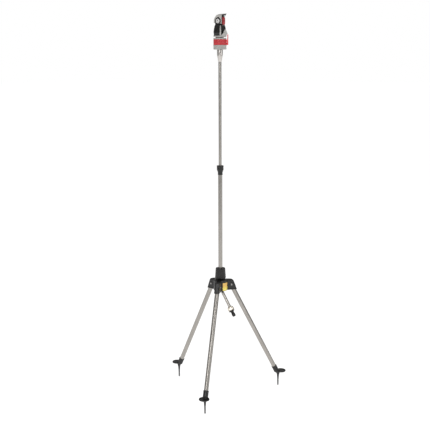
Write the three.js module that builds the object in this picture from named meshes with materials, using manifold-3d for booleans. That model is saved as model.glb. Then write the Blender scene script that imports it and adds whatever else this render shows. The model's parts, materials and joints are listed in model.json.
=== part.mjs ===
// A telescopic tripod sprinkler: three folding spiked legs on a hub, a two-stage tubular mast with
// clamp nuts, an angled hose inlet, and a geared turret head with limit rings and a tilting hood.
// Millimetres, +Z up. The mast stands on the Z axis of the sprinkler group.
import * as THREE from 'three';
import { mergeVertices } from 'three/addons/utils/BufferGeometryUtils.js';
import Module from 'manifold-3d';

const wasm = await Module();
wasm.setup();

// ---------------------------------------------------------------- driving dimensions
const GAP = 0.3; // free space kept between neighbouring pieces
const FINE = 28; // sides of a large round piece
const ROUND = 16; // sides of a tube
const SMALL = 10; // sides of a pin

const LEG_AZIMUTHS = { front: -90, right: 30, left: 150 };
const SPLAY = THREE.MathUtils.degToRad(27.2); // leg to plumb line
const PIVOT = { r: 58, z: 603 }; // leg rivet, from the mast axis
const LEG_R = 12;
const LEG_WALL = 1.2;
const LEG_LENGTH = 548; // rivet to the mouth of the foot sleeve
const LEG_HEAD = 12; // tube above the rivet
const SLEEVE_DEPTH = 30;

const SPIKE_R = 333.1; // spike axis, from the mast axis
const SPIKE_TOP = 82;
const STEP = { r: 28, out: 16, z: 80 }; // tread disc, centred outward of the spike

const HUB = { r: 37, bottom: 574, top: 633, neckR: 22, neckTop: 676 };
const WING = { width: 30, side: 2.7, outer: 3.5, reach: 90.7, slope: 19 / 59, roof: 3.2 };
const HUB_NUT = { bottom: 637, widest: 645, top: 696, topR: 26, wideR: 29.5, flutes: 14 };

const LOWER_R = 11.1; // lower mast tube
const LOWER_WALL = 1.2;
const LOWER_BOTTOM = 602;
const LOWER_TOP = 1226;
const UPPER_R = 7.95; // upper mast tube
const UPPER_WALL = 1;
const UPPER_BOTTOM = 1110;
const UPPER_TOP = 1812;

const CLAMP = { bottom: 1200, shoulder: LOWER_TOP + GAP, top: 1238, skirtR: 12.8, threadR: 14 };
const CLAMP_NUT = { bottom: 1220, top: 1249, r: 18.2, flutes: 12 };

const INLET_AZIMUTH = -30;
const INLET_TILT = THREE.MathUtils.degToRad(37.2); // inlet to plumb line
const INLET_BEND_Z = 583.2; // where the inlet axis leaves the mast axis
const INLET_BEND_R = 35;
const INLET_R = 7.95;
const INLET_BORE = 6.5;
const INLET_END = 124; // pipe end, measured along the inlet from its bend

const ADAPTER = { bottom: 1788, cone: 1820, top: 1850, r: 15, tipR: 8.9, threadR: 13.2, thread: 1863 };
const BASE = { bottom: 1850.3, r: 34.3, shelf: 1873, neckR: 29.5, innerR: 27, top: 1905.7 };
const RING = { inner: 29.9, outer: 33.5, tabR: 43.5, tabInner: 39.3, tabTop: 1927, tabHalf: 5.5 };
const RING_LEVELS = { lower: [1873.6, 1887.2], upper: [1887.8, 1902] };
const RING_TABS = { lower: 22, upper: 8 }; // azimuths of the two tabs
const COVER_TOP = 1909;
const COVER_FLANGE = { r: 33.3, bottom: 1902.6 }; // keeps the limit rings on
const COVER_BOSS = { r: 20, top: 1914 };
const STATOR_Z = 1866.6;

const MODULE = 0.9; // gear tooth module
const WHEEL_TEETH = 24;
const PINION_TEETH = 8;
const GEAR_CENTRES = (MODULE * (WHEEL_TEETH + PINION_TEETH)) / 2;
const GEAR_AZIMUTH = 150; // layshaft direction from the mast axis
const PIN_R = 1.2;
const BLADES = 8;

const TURRET_AZIMUTH = -25.5; // direction that the nozzle looks in
const SHAFT_R = 7;
const SHAFT_BORE = 5;
const CUP = {
  floor: 1914.5, inside: 1918.5, foot: 1919, low: 1920.2, front: 1952, back: 1936, nominal: 1936,
};
const SCOOP = { front: 37.6, side: 19.5, squareness: 14 }; // front lip of the cup, from above
const TOWER = { half: 24, corner: 8.4, bottom: 1918.8, belly: 1937, top: 1974.6 };
const RIB_ANGLES = [-45, 135];
const RIB_HALF = 4.7;
const RIB_TAPER = 0.045; // lost from each side of a rib, per millimetre of height
const JET_Z = 1994.5;
const TILT_AXIS = { x: -2, z: JET_Z }; // hood pivot, in the turret's own frame
const BLOCK_R = 20.3;
const BLOCK_HALF = 11;
const HOOD_HALF = 14;
const HOOD_WINDOW = 19.4; // round opening in each side of the hood
const LEVER = { pinX: -25, length: 18, thickness: 3 };

// The front foot reaches further from the mast than the two rear ones: the mast stands behind the
// middle of the footprint by half the difference.
const FOOT_REACH = SPIKE_R + STEP.out + STEP.r;
const REAR_REACH = (SPIKE_R + STEP.out) * Math.sin(THREE.MathUtils.degToRad(30)) + STEP.r;
const MAST_Y = (FOOT_REACH - REAR_REACH) / 2;

// ---------------------------------------------------------------- materials
const finish = (color, roughness, metalness = 0) => ({ color, roughness, metalness });
const ALUMINIUM = finish(0xb9b5b1, 0.38, 1);
const STEEL = finish(0xd8d6d2, 0.22, 1);
const NICKEL = finish(0xe6e0d2, 0.2, 1);
const BLACK = finish(0x1d1c1c, 0.45);
const RUBBER = finish(0x141414, 0.8);
const GREY = finish(0xb0b1b0, 0.5);
const LIGHT_GREY = finish(0xc4c3c2, 0.45);
const RED = finish(0xc5383c, 0.4);
const YELLOW = finish(0xe9c14f, 0.5);
const ACETAL = finish(0xe9e6dc, 0.4);

// ---------------------------------------------------------------- solid tools
const deg = THREE.MathUtils.degToRad;

// Merges shared vertices, drops collapsed triangles and turns every face outward.
function closed(geometry) {
  geometry.deleteAttribute('normal');
  geometry.deleteAttribute('uv');
  const merged = mergeVertices(geometry, 1e-4);
  const place = merged.attributes.position;
  const index = [];
  let volume = 0;
  const [a, b, c] = [new THREE.Vector3(), new THREE.Vector3(), new THREE.Vector3()];
  for (let i = 0; i < merged.index.count; i += 3) {
    const [p, q, r] = [0, 1, 2].map((k) => merged.index.getX(i + k));
    if (p === q || q === r || r === p) continue;
    index.push(p, q, r);
    a.fromBufferAttribute(place, p);
    b.fromBufferAttribute(place, q);
    c.fromBufferAttribute(place, r);
    volume += a.dot(b.cross(c));
  }
  if (volume < 0) {
    for (let i = 0; i < index.length; i += 3) [index[i], index[i + 1]] = [index[i + 1], index[i]];
  }
  merged.setIndex(index);
  return merged;
}

function solid(geometry) {
  const shape = closed(geometry);
  const vertProperties = new Float32Array(shape.attributes.position.array);
  const triVerts = new Uint32Array(shape.index.array);
  return new wasm.Manifold(new wasm.Mesh({ numProp: 3, vertProperties, triVerts }));
}

function geometryOf(manifold) {
  const mesh = manifold.getMesh();
  const geometry = new THREE.BufferGeometry();
  geometry.setAttribute('position', new THREE.BufferAttribute(mesh.vertProperties, 3));
  geometry.setIndex(new THREE.BufferAttribute(mesh.triVerts, 1));
  return geometry;
}

const join = (first, ...rest) => rest.reduce((sum, next) => sum.add(next), first);
const cut = (first, ...rest) => rest.reduce((left, next) => left.subtract(next), first);

// A closed profile of [radius, height] points turned about the Z axis.
function turned(profile, sides = ROUND) {
  const points = [...profile, profile[0]].map(([r, z]) => new THREE.Vector2(r, z));
  return new THREE.LatheGeometry(points, sides).rotateX(Math.PI / 2);
}

const rod = (r, low, high, sides = ROUND) => turned([[0, low], [r, low], [r, high], [0, high]], sides);

function ring(inner, outer, low, high, sides = ROUND) {
  return turned([[inner, low], [outer, low], [outer, high], [inner, high]], sides);
}

// An outline in the XY plane extruded from one height to another.
function prism(shape, low, high, options = {}) {
  const depth = high - low;
  const geometry = new THREE.ExtrudeGeometry(shape, { depth, bevelEnabled: false, ...options });
  return geometry.translate(0, 0, low);
}

// An outline in the XZ plane extruded to both sides of Y = 0.
function slab(shape, half, options = {}) {
  const settings = { depth: 2 * half, bevelEnabled: false, ...options };
  return new THREE.ExtrudeGeometry(shape, settings).translate(0, 0, -half).rotateX(Math.PI / 2);
}

const outline = (points) => new THREE.Shape(points.map(([x, y]) => new THREE.Vector2(x, y)));

function roundedRect(halfX, halfY, corner) {
  const shape = new THREE.Shape();
  shape.absarc(halfX - corner, halfY - corner, corner, 0, Math.PI / 2);
  shape.absarc(corner - halfX, halfY - corner, corner, Math.PI / 2, Math.PI);
  shape.absarc(corner - halfX, corner - halfY, corner, Math.PI, 1.5 * Math.PI);
  shape.absarc(halfX - corner, corner - halfY, corner, 1.5 * Math.PI, 2 * Math.PI);
  return shape;
}

// A sector of a ring, centred on +X.
function sector(inner, outer, halfAngle) {
  const shape = new THREE.Shape();
  shape.absarc(0, 0, outer, -halfAngle, halfAngle, false);
  shape.absarc(0, 0, inner, halfAngle, -halfAngle, true);
  shape.closePath();
  return shape;
}

function fluted(r, depth, flutes) {
  const steps = flutes * 4;
  const points = [];
  for (let i = 0; i < steps; i += 1) {
    const angle = (i * 2 * Math.PI) / steps;
    const dip = Math.max(0, Math.cos(angle * flutes)) ** 2;
    points.push([(r - depth * dip) * Math.cos(angle), (r - depth * dip) * Math.sin(angle)]);
  }
  return outline(points);
}

// Moves every vertex of a geometry by a function of its place.
function bent(geometry, move) {
  const place = geometry.attributes.position;
  const v = new THREE.Vector3();
  for (let i = 0; i < place.count; i += 1) {
    v.fromBufferAttribute(place, i);
    move(v);
    place.setXYZ(i, v.x, v.y, v.z);
  }
  return geometry;
}

const smooth = (from, to, value) => THREE.MathUtils.smoothstep(value, from, to);

const sprinkler = new THREE.Group();
sprinkler.position.y = MAST_Y;

function addPiece(parent, name, shape, look) {
  const geometry = shape.getMesh ? geometryOf(shape) : closed(shape);
  const mesh = new THREE.Mesh(geometry, new THREE.MeshStandardMaterial(look));
  mesh.name = name;
  parent.add(mesh);
}

function turnedGroup(azimuth, parent = sprinkler) {
  const group = new THREE.Group();
  group.rotation.z = deg(azimuth);
  parent.add(group);
  return group;
}

// ---------------------------------------------------------------- hub
// The outline of a wing seen from above, at the hub's bottom level.
function wingPlan(inner, outer, half, corner) {
  const shape = new THREE.Shape();
  shape.moveTo(inner, -half);
  shape.lineTo(outer - corner, -half);
  shape.absarc(outer - corner, corner - half, corner, -Math.PI / 2, 0);
  shape.absarc(outer - corner, half - corner, corner, 0, Math.PI / 2);
  shape.lineTo(inner, half);
  return shape;
}

// Wings lean inward as they rise, and their roofs fall away toward the outside.
function wingSolid(plan, low, high, fall) {
  const leaning = bent(prism(plan, low, high, { curveSegments: 4 }), (v) => {
    const top = v.z > (low + high) / 2;
    v.x -= (v.z - HUB.bottom) * WING.slope;
    if (top) v.z -= Math.max(0, v.x - HUB.r + 4) * fall;
  });
  return solid(leaning);
}

function wing(azimuth) {
  const half = WING.width / 2;
  const fall = 0.16;
  const outer = wingSolid(wingPlan(10, WING.reach, half, 9), HUB.bottom, HUB.top + 2, fall);
  const inside = wingPlan(10, WING.reach - WING.outer, half - WING.side, 6);
  const hollow = wingSolid(inside, HUB.bottom - 20, HUB.top + 2 - WING.roof, fall);
  const bore = solid(rod(3.3, -half - 5, half + 5, SMALL).rotateX(Math.PI / 2));
  return cut(outer, hollow, bore.translate([PIVOT.r, 0, PIVOT.z])).rotate([0, 0, azimuth]);
}

function hubBody() {
  const { r, bottom, top, neckR, neckTop } = HUB;
  const barrel = solid(turned([
    [0, bottom], [r - 1.5, bottom], [r, bottom + 1.5], [r, top - 4], [r - 5, top + 1],
    [neckR + 1.5, top + 2.5],
    [neckR, top + 4], [neckR, neckTop], [0, neckTop],
  ], FINE));
  const wings = Object.values(LEG_AZIMUTHS).map(wing);
  const throat = solid(turned([
    [0, bottom - 1], [24, bottom - 1], [24, LOWER_BOTTOM - 6], [LOWER_R + 0.4, LOWER_BOTTOM - 2],
    [LOWER_R + 0.4, 664], [16, 664], [16, neckTop + 1], [0, neckTop + 1],
  ], ROUND));
  return cut(join(barrel, ...wings), throat);
}

function hubNut() {
  const { bottom, widest, top, topR, wideR, flutes } = HUB_NUT;
  const grip = bent(prism(fluted(wideR, 1.3, flutes), bottom, top, { steps: 2 }), (v) => {
    const scale = 1 - (1 - topR / wideR) * ((v.z - bottom) / (top - bottom));
    v.x *= scale;
    v.y *= scale;
  });
  const envelope = solid(turned([
    [0, bottom], [24, bottom], [wideR + 1, widest], [wideR + 1, top - 3], [topR - 0.6, top - 3],
    [topR - 3, top], [0, top],
  ], FINE));
  const neckClear = HUB.neckR + 0.5;
  const thread = turned([
    [0, bottom - 1], [neckClear, bottom - 1], [neckClear, 677.5], [16.4, 677.5], [16.4, 681],
    [13.9, 690.5], [LOWER_R + 0.5, 690.5], [LOWER_R + 0.5, top + 1], [0, top + 1],
  ], ROUND);
  return solid(grip).intersect(envelope).subtract(solid(thread));
}

function splitCollet(inner, outer, low, shoulder, high, tipR) {
  const body = solid(turned([[inner, low], [outer, low], [outer, shoulder], [tipR, high], [inner, high]]));
  const slit = solid(new THREE.BoxGeometry(outer * 2, 1.6, high - low + 4));
  return body.subtract(slit.translate([outer, 0, (high + low) / 2]));
}

function addHub() {
  addPiece(sprinkler, 'hub_body', hubBody(), BLACK);
  addPiece(sprinkler, 'hub_clamp_nut', hubNut(), BLACK);
  addPiece(sprinkler, 'hub_collet', splitCollet(LOWER_R + GAP, 15.7, 664.3, 680, 689.8, 13.3), ACETAL);
  const label = prism(sector(HUB.r + GAP, HUB.r + 1.1, deg(32)), HUB.bottom + 2, 619);
  addPiece(turnedGroup(INLET_AZIMUTH), 'hub_label', label, YELLOW);
}

// ---------------------------------------------------------------- legs
function footSpike() {
  const alongLeg = (geometry) => {
    geometry.rotateY(Math.PI - SPLAY).translate(PIVOT.r, 0, PIVOT.z);
    return solid(geometry);
  };
  const sleeveR = LEG_R + 3;
  const mouth = LEG_LENGTH;
  const sleeve = alongLeg(turned([
    [0, mouth], [sleeveR - 0.8, mouth], [sleeveR, mouth + 1], [sleeveR, mouth + 5],
    [sleeveR - 0.6, mouth + 6],
    [sleeveR - 0.6, mouth + 34], [8, mouth + 44], [0, mouth + 44],
  ]));
  const bore = alongLeg(rod(LEG_R + GAP, mouth - 2, mouth + SLEEVE_DEPTH));
  const spike = solid(turned([
    [0, 0], [2.6, 0], [3.6, 4], [4.4, 40], [6, 58], [9, 70], [13, SPIKE_TOP],
    [11, SPIKE_TOP + 6], [0, SPIKE_TOP + 6],
  ], 24).translate(SPIKE_R, 0, 0));
  const { r, out, z } = STEP;
  const tread = solid(turned([
    [0, z - 1], [r - 5, z - 1], [r - 1, z + 1], [r, z + 3.5], [r - 1, z + 7.5], [r - 3, z + 7.5],
    [r - 5, z + 4.5],
    [0, z + 4.5],
  ], FINE).translate(SPIKE_R + out, 0, 0));
  return cut(join(sleeve, spike, tread), bore);
}

function legTube() {
  const tube = solid(ring(LEG_R - LEG_WALL, LEG_R, -LEG_HEAD, LEG_LENGTH + SLEEVE_DEPTH - GAP));
  const eye = solid(rod(3.3, -LEG_R - 2, LEG_R + 2, SMALL).rotateX(Math.PI / 2));
  return tube.subtract(eye);
}

function legPlug() {
  const r = LEG_R - LEG_WALL - GAP;
  const plug = solid(turned([[0, -LEG_HEAD], [r - 1, -LEG_HEAD], [r, -LEG_HEAD + 1], [r, 24], [0, 24]]));
  const eye = solid(rod(3.3, -LEG_R, LEG_R, SMALL).rotateX(Math.PI / 2));
  const core = solid(rod(7.5, 9, 26, SMALL));
  return cut(plug, eye, core);
}

function legRivet() {
  const half = WING.width / 2;
  return turned([
    [0, -half - 3], [3, -half - 2.7], [5.2, -half - 1.6], [6, -half - GAP], [3, -half - GAP],
    [3, half + GAP], [6, half + GAP], [5.2, half + 1.6], [3, half + 2.7], [0, half + 3],
  ], SMALL).rotateX(Math.PI / 2);
}

function addLegs() {
  for (const [side, azimuth] of Object.entries(LEG_AZIMUTHS)) {
    const group = turnedGroup(azimuth);
    const leg = new THREE.Group();
    leg.position.set(PIVOT.r, 0, PIVOT.z);
    leg.rotation.y = Math.PI - SPLAY;
    group.add(leg);
    addPiece(leg, `leg_tube_${side}`, legTube(), ALUMINIUM);
    addPiece(leg, `leg_plug_${side}`, legPlug(), BLACK);
    addPiece(group, `leg_rivet_${side}`, legRivet().translate(PIVOT.r, 0, PIVOT.z), STEEL);
    addPiece(group, `foot_spike_${side}`, footSpike(), BLACK);
  }
}

// ---------------------------------------------------------------- mast
function clampBody() {
  const { bottom, shoulder, top, skirtR, threadR } = CLAMP;
  const bore = LOWER_R + GAP;
  return turned([
    [bore, bottom], [skirtR + 0.2, bottom], [skirtR + 0.4, bottom + 1.5], [skirtR, bottom + 5],
    [skirtR, bottom + 13], [threadR + 1, bottom + 19], [threadR, bottom + 20], [threadR, top],
    [11, top], [11, 1229.5], [UPPER_R + 0.45, 1229.5], [UPPER_R + 0.45, shoulder], [bore, shoulder],
  ], ROUND);
}

function clampNut() {
  const { bottom, top, r, flutes } = CLAMP_NUT;
  const envelope = solid(turned([
    [0, bottom], [15.4, bottom], [r + 0.5, bottom + 8], [r + 0.5, bottom + 14], [r - 0.7, bottom + 16.5],
    [r + 0.5, bottom + 19], [r + 0.5, top - 1], [r - 2, top], [0, top],
  ], FINE));
  const inside = solid(turned([
    [0, bottom - 1], [14.5, bottom - 1], [14.5, 1238.6], [11.3, 1238.6], [11.3, 1240.5], [9.4, 1246],
    [UPPER_R + 0.4, 1246], [UPPER_R + 0.4, top + 1], [0, top + 1],
  ]));
  return solid(prism(fluted(r, 0.9, flutes), bottom, top)).intersect(envelope).subtract(inside);
}

function addMast() {
  const lower = ring(LOWER_R - LOWER_WALL, LOWER_R, LOWER_BOTTOM, LOWER_TOP);
  const upper = ring(UPPER_R - UPPER_WALL, UPPER_R, UPPER_BOTTOM, UPPER_TOP);
  addPiece(sprinkler, 'mast_lower_tube', lower, ALUMINIUM);
  addPiece(sprinkler, 'mast_upper_tube', upper, ALUMINIUM);
  addPiece(sprinkler, 'mast_clamp_body', clampBody(), BLACK);
  addPiece(sprinkler, 'mast_clamp_nut', clampNut(), BLACK);
  addPiece(sprinkler, 'mast_collet', splitCollet(UPPER_R + GAP, 10.7, 1229.8, 1240, 1245.6, 9.1), ACETAL);
  const sealR = LOWER_R - LOWER_WALL - GAP;
  const seal = turned([
    [UPPER_R + GAP, 1112], [sealR - 0.6, 1112], [sealR, 1113], [sealR, 1118], [sealR - 0.6, 1119],
    [sealR - 0.6, 1121], [sealR, 1122], [sealR, 1127], [sealR - 0.6, 1128], [UPPER_R + GAP, 1128],
  ]);
  addPiece(sprinkler, 'mast_slide_seal', seal, RUBBER);
}

// ---------------------------------------------------------------- hose inlet
function inletPath() {
  const tangent = INLET_BEND_R * Math.tan(INLET_TILT / 2);
  const along = (w) => (
    new THREE.Vector3(w * Math.sin(INLET_TILT), 0, INLET_BEND_Z - w * Math.cos(INLET_TILT))
  );
  const path = new THREE.CurvePath();
  const bendStart = new THREE.Vector3(0, 0, INLET_BEND_Z + tangent);
  path.add(new THREE.LineCurve3(new THREE.Vector3(0, 0, 640), bendStart));
  path.add(new THREE.QuadraticBezierCurve3(bendStart, along(0), along(tangent)));
  path.add(new THREE.LineCurve3(along(tangent), along(INLET_END)));
  return path;
}

function pipeAlong(path, outer, inner, steps) {
  const bar = (r) => {
    const section = new THREE.Shape();
    section.absarc(0, 0, r, 0, 2 * Math.PI);
    return new THREE.ExtrudeGeometry(section, { extrudePath: path, steps, curveSegments: 7 });
  };
  return { outside: solid(bar(outer)), inside: solid(bar(inner)) };
}

function addInlet() {
  const group = turnedGroup(INLET_AZIMUTH);
  const along = new THREE.Group();
  along.position.z = INLET_BEND_Z;
  along.rotation.y = Math.PI - INLET_TILT;
  group.add(along);

  const { outside, inside } = pipeAlong(inletPath(), INLET_R, INLET_BORE, 12);
  const flare = turned([[INLET_BORE, 121.2], [12, 121.2], [12, INLET_END], [INLET_BORE, INLET_END]]);
  flare.rotateY(Math.PI - INLET_TILT).translate(0, 0, INLET_BEND_Z);
  addPiece(group, 'inlet_pipe', join(outside, solid(flare)).subtract(inside), ALUMINIUM);
  addPiece(group, 'inlet_seal', ring(INLET_R + GAP, LOWER_R - LOWER_WALL - GAP, 604, 634), RUBBER);

  const nutEnvelope = solid(turned([
    [0, 113], [11, 113], [15, 116], [17.2, 120], [17.2, 134.5], [15.8, 136.8], [0, 136.8],
  ], FINE));
  const nutInside = solid(turned([
    [0, 112], [INLET_R + 0.5, 112], [INLET_R + 0.5, 120.7], [12.9, 120.7], [12.9, 138], [0, 138],
  ]));
  const nut = solid(prism(fluted(17.2, 0.8, 18), 112.5, 137)).intersect(nutEnvelope).subtract(nutInside);
  addPiece(along, 'hose_coupling_nut', nut, NICKEL);
  addPiece(along, 'hose_washer', ring(6, 12, INLET_END + GAP, 126.5), RUBBER);

  const connector = turned([
    [5, 126.8], [12.4, 126.8], [12.4, 137.2], [15.6, 137.4], [15.6, 140.4], [12, 142.5], [8.4, 143.5],
    [8.4, 147], [7, 148.5], [7, 153.5], [9.6, 156], [9.9, 162], [8.6, 168], [7.2, 171], [5, 171],
  ], ROUND);
  addPiece(along, 'quick_connector', connector, BLACK);
  addPiece(along, 'connector_o_ring', turned([
    [7.3, 149.2], [8.2, 148.9], [8.9, 150], [8.9, 151.6], [8.2, 152.7], [7.3, 152.4],
  ]), RUBBER);
}

// ---------------------------------------------------------------- head: base and drive
function addBase() {
  const a = ADAPTER;
  const adapter = turned([
    [UPPER_R + GAP, a.bottom], [a.tipR - 0.2, a.bottom], [a.tipR, a.bottom + 1], [a.r - 0.4, a.cone],
    [a.r - 0.4, a.cone + 1.5], [a.r, a.cone + 2.5], [a.r, a.top - 1], [a.r - 1, a.top], [a.threadR, a.top],
    [a.threadR, a.thread], [6, a.thread], [6, UPPER_TOP + GAP], [UPPER_R + GAP, UPPER_TOP + GAP],
  ]);
  addPiece(sprinkler, 'head_adapter', adapter, STEEL);

  const b = BASE;
  const housing = turned([
    [13.6, b.bottom], [b.r - 2.5, b.bottom], [b.r, b.bottom + 2.5], [b.r, b.bottom + 5],
    [b.r - 0.9, b.bottom + 6], [b.r - 0.9, b.shelf - 4.5], [b.r, b.shelf - 3.5], [b.r, b.shelf],
    [b.neckR, b.shelf], [b.neckR, b.top], [b.innerR, b.top], [b.innerR, b.bottom + 3],
    [16.5, b.bottom + 3], [16.5, 1866.2], [13.6, 1866.2],
  ], FINE);
  addPiece(sprinkler, 'base_housing', housing, GREY);

  const cover = turned([
    [SHAFT_R + 0.5, 1903], [b.innerR - 0.4, 1903], [b.innerR - 0.4, b.top + GAP],
    [b.neckR + 0.4, b.top + GAP], [b.neckR + 0.4, COVER_FLANGE.bottom],
    [COVER_FLANGE.r, COVER_FLANGE.bottom], [COVER_FLANGE.r, COVER_TOP], [COVER_BOSS.r, COVER_TOP],
    [COVER_BOSS.r, COVER_BOSS.top], [SHAFT_R + 0.5, COVER_BOSS.top],
  ], FINE);
  addPiece(sprinkler, 'drive_cover', cover, GREY);
  addPiece(sprinkler, 'turret_seal', ring(SHAFT_R + 0.4, 10, 1900.2, 1902.7), RUBBER);
}

function perforated(plate, r, holes, holeR, height) {
  const drill = (i) => {
    const angle = (i * 2 * Math.PI) / holes;
    const drillBit = rod(holeR, height - 5, height + 5, 10);
    return solid(drillBit.translate(r * Math.cos(angle), r * Math.sin(angle), 0));
  };
  return cut(plate, ...Array.from({ length: holes }, (_, i) => drill(i)));
}

function gearShape(teeth) {
  const pitch = (MODULE * teeth) / 2;
  const root = pitch - 1.1 * MODULE;
  const tip = pitch + 0.75 * MODULE;
  const points = [];
  for (let i = 0; i < teeth; i += 1) {
    const middle = (i * 2 * Math.PI) / teeth;
    const corners = [[root, -0.72 / root], [tip, -0.38 / tip], [tip, 0.38 / tip], [root, 0.72 / root]];
    for (const [r, turn] of corners) {
      points.push([r * Math.cos(middle + turn), r * Math.sin(middle + turn)]);
    }
  }
  return outline(points);
}

function turbineRotor() {
  const blade = () => new THREE.BoxGeometry(9.4, 1, 6).translate(7.2, 0, 0).rotateX(deg(35));
  let rotor = solid(rod(3.4, 1870.6, 1876.6, SMALL));
  for (let i = 0; i < BLADES; i += 1) {
    const turnBy = (i * 2 * Math.PI) / BLADES;
    rotor = rotor.add(solid(blade().rotateZ(turnBy).translate(0, 0, 1873.6)));
  }
  // One pinion tooth looks at the layshaft.
  const pinion = prism(gearShape(PINION_TEETH), 1876.5, 1881.5).rotateZ(deg(GEAR_AZIMUTH));
  return rotor.add(solid(pinion)).subtract(solid(rod(PIN_R + GAP, 1868, 1884, SMALL)));
}

function reductionGear() {
  // A gap between two teeth of the wheel, and a tooth of the pinion, look back at the mast axis.
  const halfTooth = Math.PI / WHEEL_TEETH;
  const wheel = solid(prism(gearShape(WHEEL_TEETH), 1877.2, 1881.2).rotateZ(Math.PI + halfTooth));
  const pinion = solid(prism(gearShape(PINION_TEETH), 1881, 1888).rotateZ(Math.PI));
  return wheel.add(pinion).subtract(solid(rod(PIN_R + GAP, 1870, 1890, SMALL)));
}

function addDrive() {
  addPiece(sprinkler, 'inlet_filter', perforated(solid(rod(13.1, 1863.4, 1865.4)), 8, 10, 1.7, 1864), STEEL);
  const plate = perforated(solid(rod(26.6, STATOR_Z, STATOR_Z + 3, FINE)), 9, 6, 2, STATOR_Z);
  const pinHole = solid(rod(PIN_R + GAP, STATOR_Z - 5, STATOR_Z + 5, SMALL));
  const layHole = pinHole.translate([GEAR_CENTRES, 0, 0]).rotate([0, 0, GEAR_AZIMUTH]);
  addPiece(sprinkler, 'stator_plate', cut(plate, pinHole, layHole), ACETAL);
  addPiece(sprinkler, 'turbine_rotor', turbineRotor(), ACETAL);
  addPiece(sprinkler, 'turbine_pin', rod(PIN_R, STATOR_Z + GAP, 1882, SMALL), STEEL);

  const layshaft = new THREE.Group();
  layshaft.position.x = GEAR_CENTRES;
  turnedGroup(GEAR_AZIMUTH).add(layshaft);
  addPiece(layshaft, 'reduction_gear', reductionGear(), ACETAL);
  addPiece(layshaft, 'reduction_gear_pin', rod(PIN_R, STATOR_Z + GAP, 1890, SMALL), STEEL);

  const halfTooth = Math.PI / WHEEL_TEETH;
  const wheel = solid(prism(gearShape(WHEEL_TEETH), 1883.4, 1887.4).rotateZ(deg(GEAR_AZIMUTH) + halfTooth));
  addPiece(sprinkler, 'output_gear', wheel.subtract(solid(rod(SHAFT_R + GAP, 1880, 1890))), ACETAL);
}

function limitRing(level) {
  const [low, high] = RING_LEVELS[level];
  const { inner, outer, tabR, tabInner, tabTop, tabHalf } = RING;
  const middle = (low + high) / 2;
  const band = solid(turned([
    [inner, low], [outer, low], [outer, middle - 1], [outer - 0.6, middle - 0.4], [outer - 0.6, middle + 0.4],
    [outer, middle + 1], [outer, high], [inner, high],
  ], FINE));
  const arm = solid(prism(sector(inner + 1, tabR, deg(tabHalf)), low, high));
  const finger = solid(prism(sector(tabInner, tabR, deg(tabHalf)), low, tabTop));
  return band.add(arm.add(finger).rotate([0, 0, RING_TABS[level]]));
}

// ---------------------------------------------------------------- head: turret
function cupHeight(angle) {
  const away = Math.abs(THREE.MathUtils.radToDeg(angle));
  const front = 1 - smooth(0, 44, away);
  const back = smooth(150, 172, away);
  return CUP.low + (CUP.front - CUP.low) * front + (CUP.back - CUP.low) * back;
}

// How far the squared front lip stands out beyond a round wall, as a ratio.
function scoop(angle, wallR) {
  if (Math.cos(angle) <= 0) return 1;
  const front = (Math.cos(angle) / SCOOP.front) ** SCOOP.squareness;
  const side = (Math.abs(Math.sin(angle)) / SCOOP.side) ** SCOOP.squareness;
  return Math.max(1, (front + side) ** (-1 / SCOOP.squareness) / wallR);
}

// A dish whose wall stands high in front and behind, is cut low at both sides, and has a scoop in front.
function cupShell() {
  const wallR = 33.9;
  const dish = turned([
    [SHAFT_R + GAP, CUP.floor], [31, CUP.floor], [33, CUP.floor + 2], [33.6, CUP.foot], [wallR, 1925],
    [wallR, 1930], [33.6, CUP.nominal], [31.4, CUP.nominal], [31.2, 1930], [31.2, 1925], [30.8, CUP.foot],
    [29.6, CUP.inside], [SHAFT_R + GAP, CUP.inside],
  ], 48);
  return bent(dish, (v) => {
    const angle = Math.atan2(v.y, v.x);
    if (v.z <= CUP.foot + 0.01) return;
    v.z = CUP.foot + ((v.z - CUP.foot) * (cupHeight(angle) - CUP.foot)) / (CUP.nominal - CUP.foot);
    const jut = 1 + (scoop(angle, wallR) - 1) * smooth(1921, 1931, v.z);
    v.x *= jut;
    v.y *= jut;
  });
}

// The tower swells above the cup and draws in below the hood.
function towerScale(z) {
  const swell = 0.95 + 0.13 * smooth(TOWER.bottom, TOWER.belly, z);
  return swell - 0.12 * smooth(TOWER.belly, 1966, z) - 0.14 * smooth(1960, 1980, z);
}

function rounder(points) {
  return points.map(([x, z]) => [x * towerScale(z), z]);
}

// A corner post of the cup, which follows the tower's corner and narrows upward. A groove for it is
// wider by the gap and open to the outside.
function rib(angle, grow = 0, open = 0) {
  const foot = CUP.floor + 3;
  const heights = [foot, 1926, TOWER.belly, 1947, 1957, 1965, 1971];
  const outside = rounder(heights.map((z) => [31, z])).map(([x, z]) => [x + open, z]);
  const inside = rounder(heights.map((z) => [26.8 - grow, z])).reverse();
  outside[outside.length - 1][1] += grow;
  inside[0][1] += grow;
  const post = bent(slab(outline([...outside, ...inside]), RIB_HALF), (v) => {
    v.y = Math.sign(v.y) * (RIB_HALF - (v.z - foot) * RIB_TAPER + grow);
  });
  return solid(post).rotate([0, 0, angle]);
}

function acrossBore(r, half, sides = ROUND) {
  return solid(rod(r, -half, half, sides).rotateX(Math.PI / 2)).translate([TILT_AXIS.x, 0, TILT_AXIS.z]);
}

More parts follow.
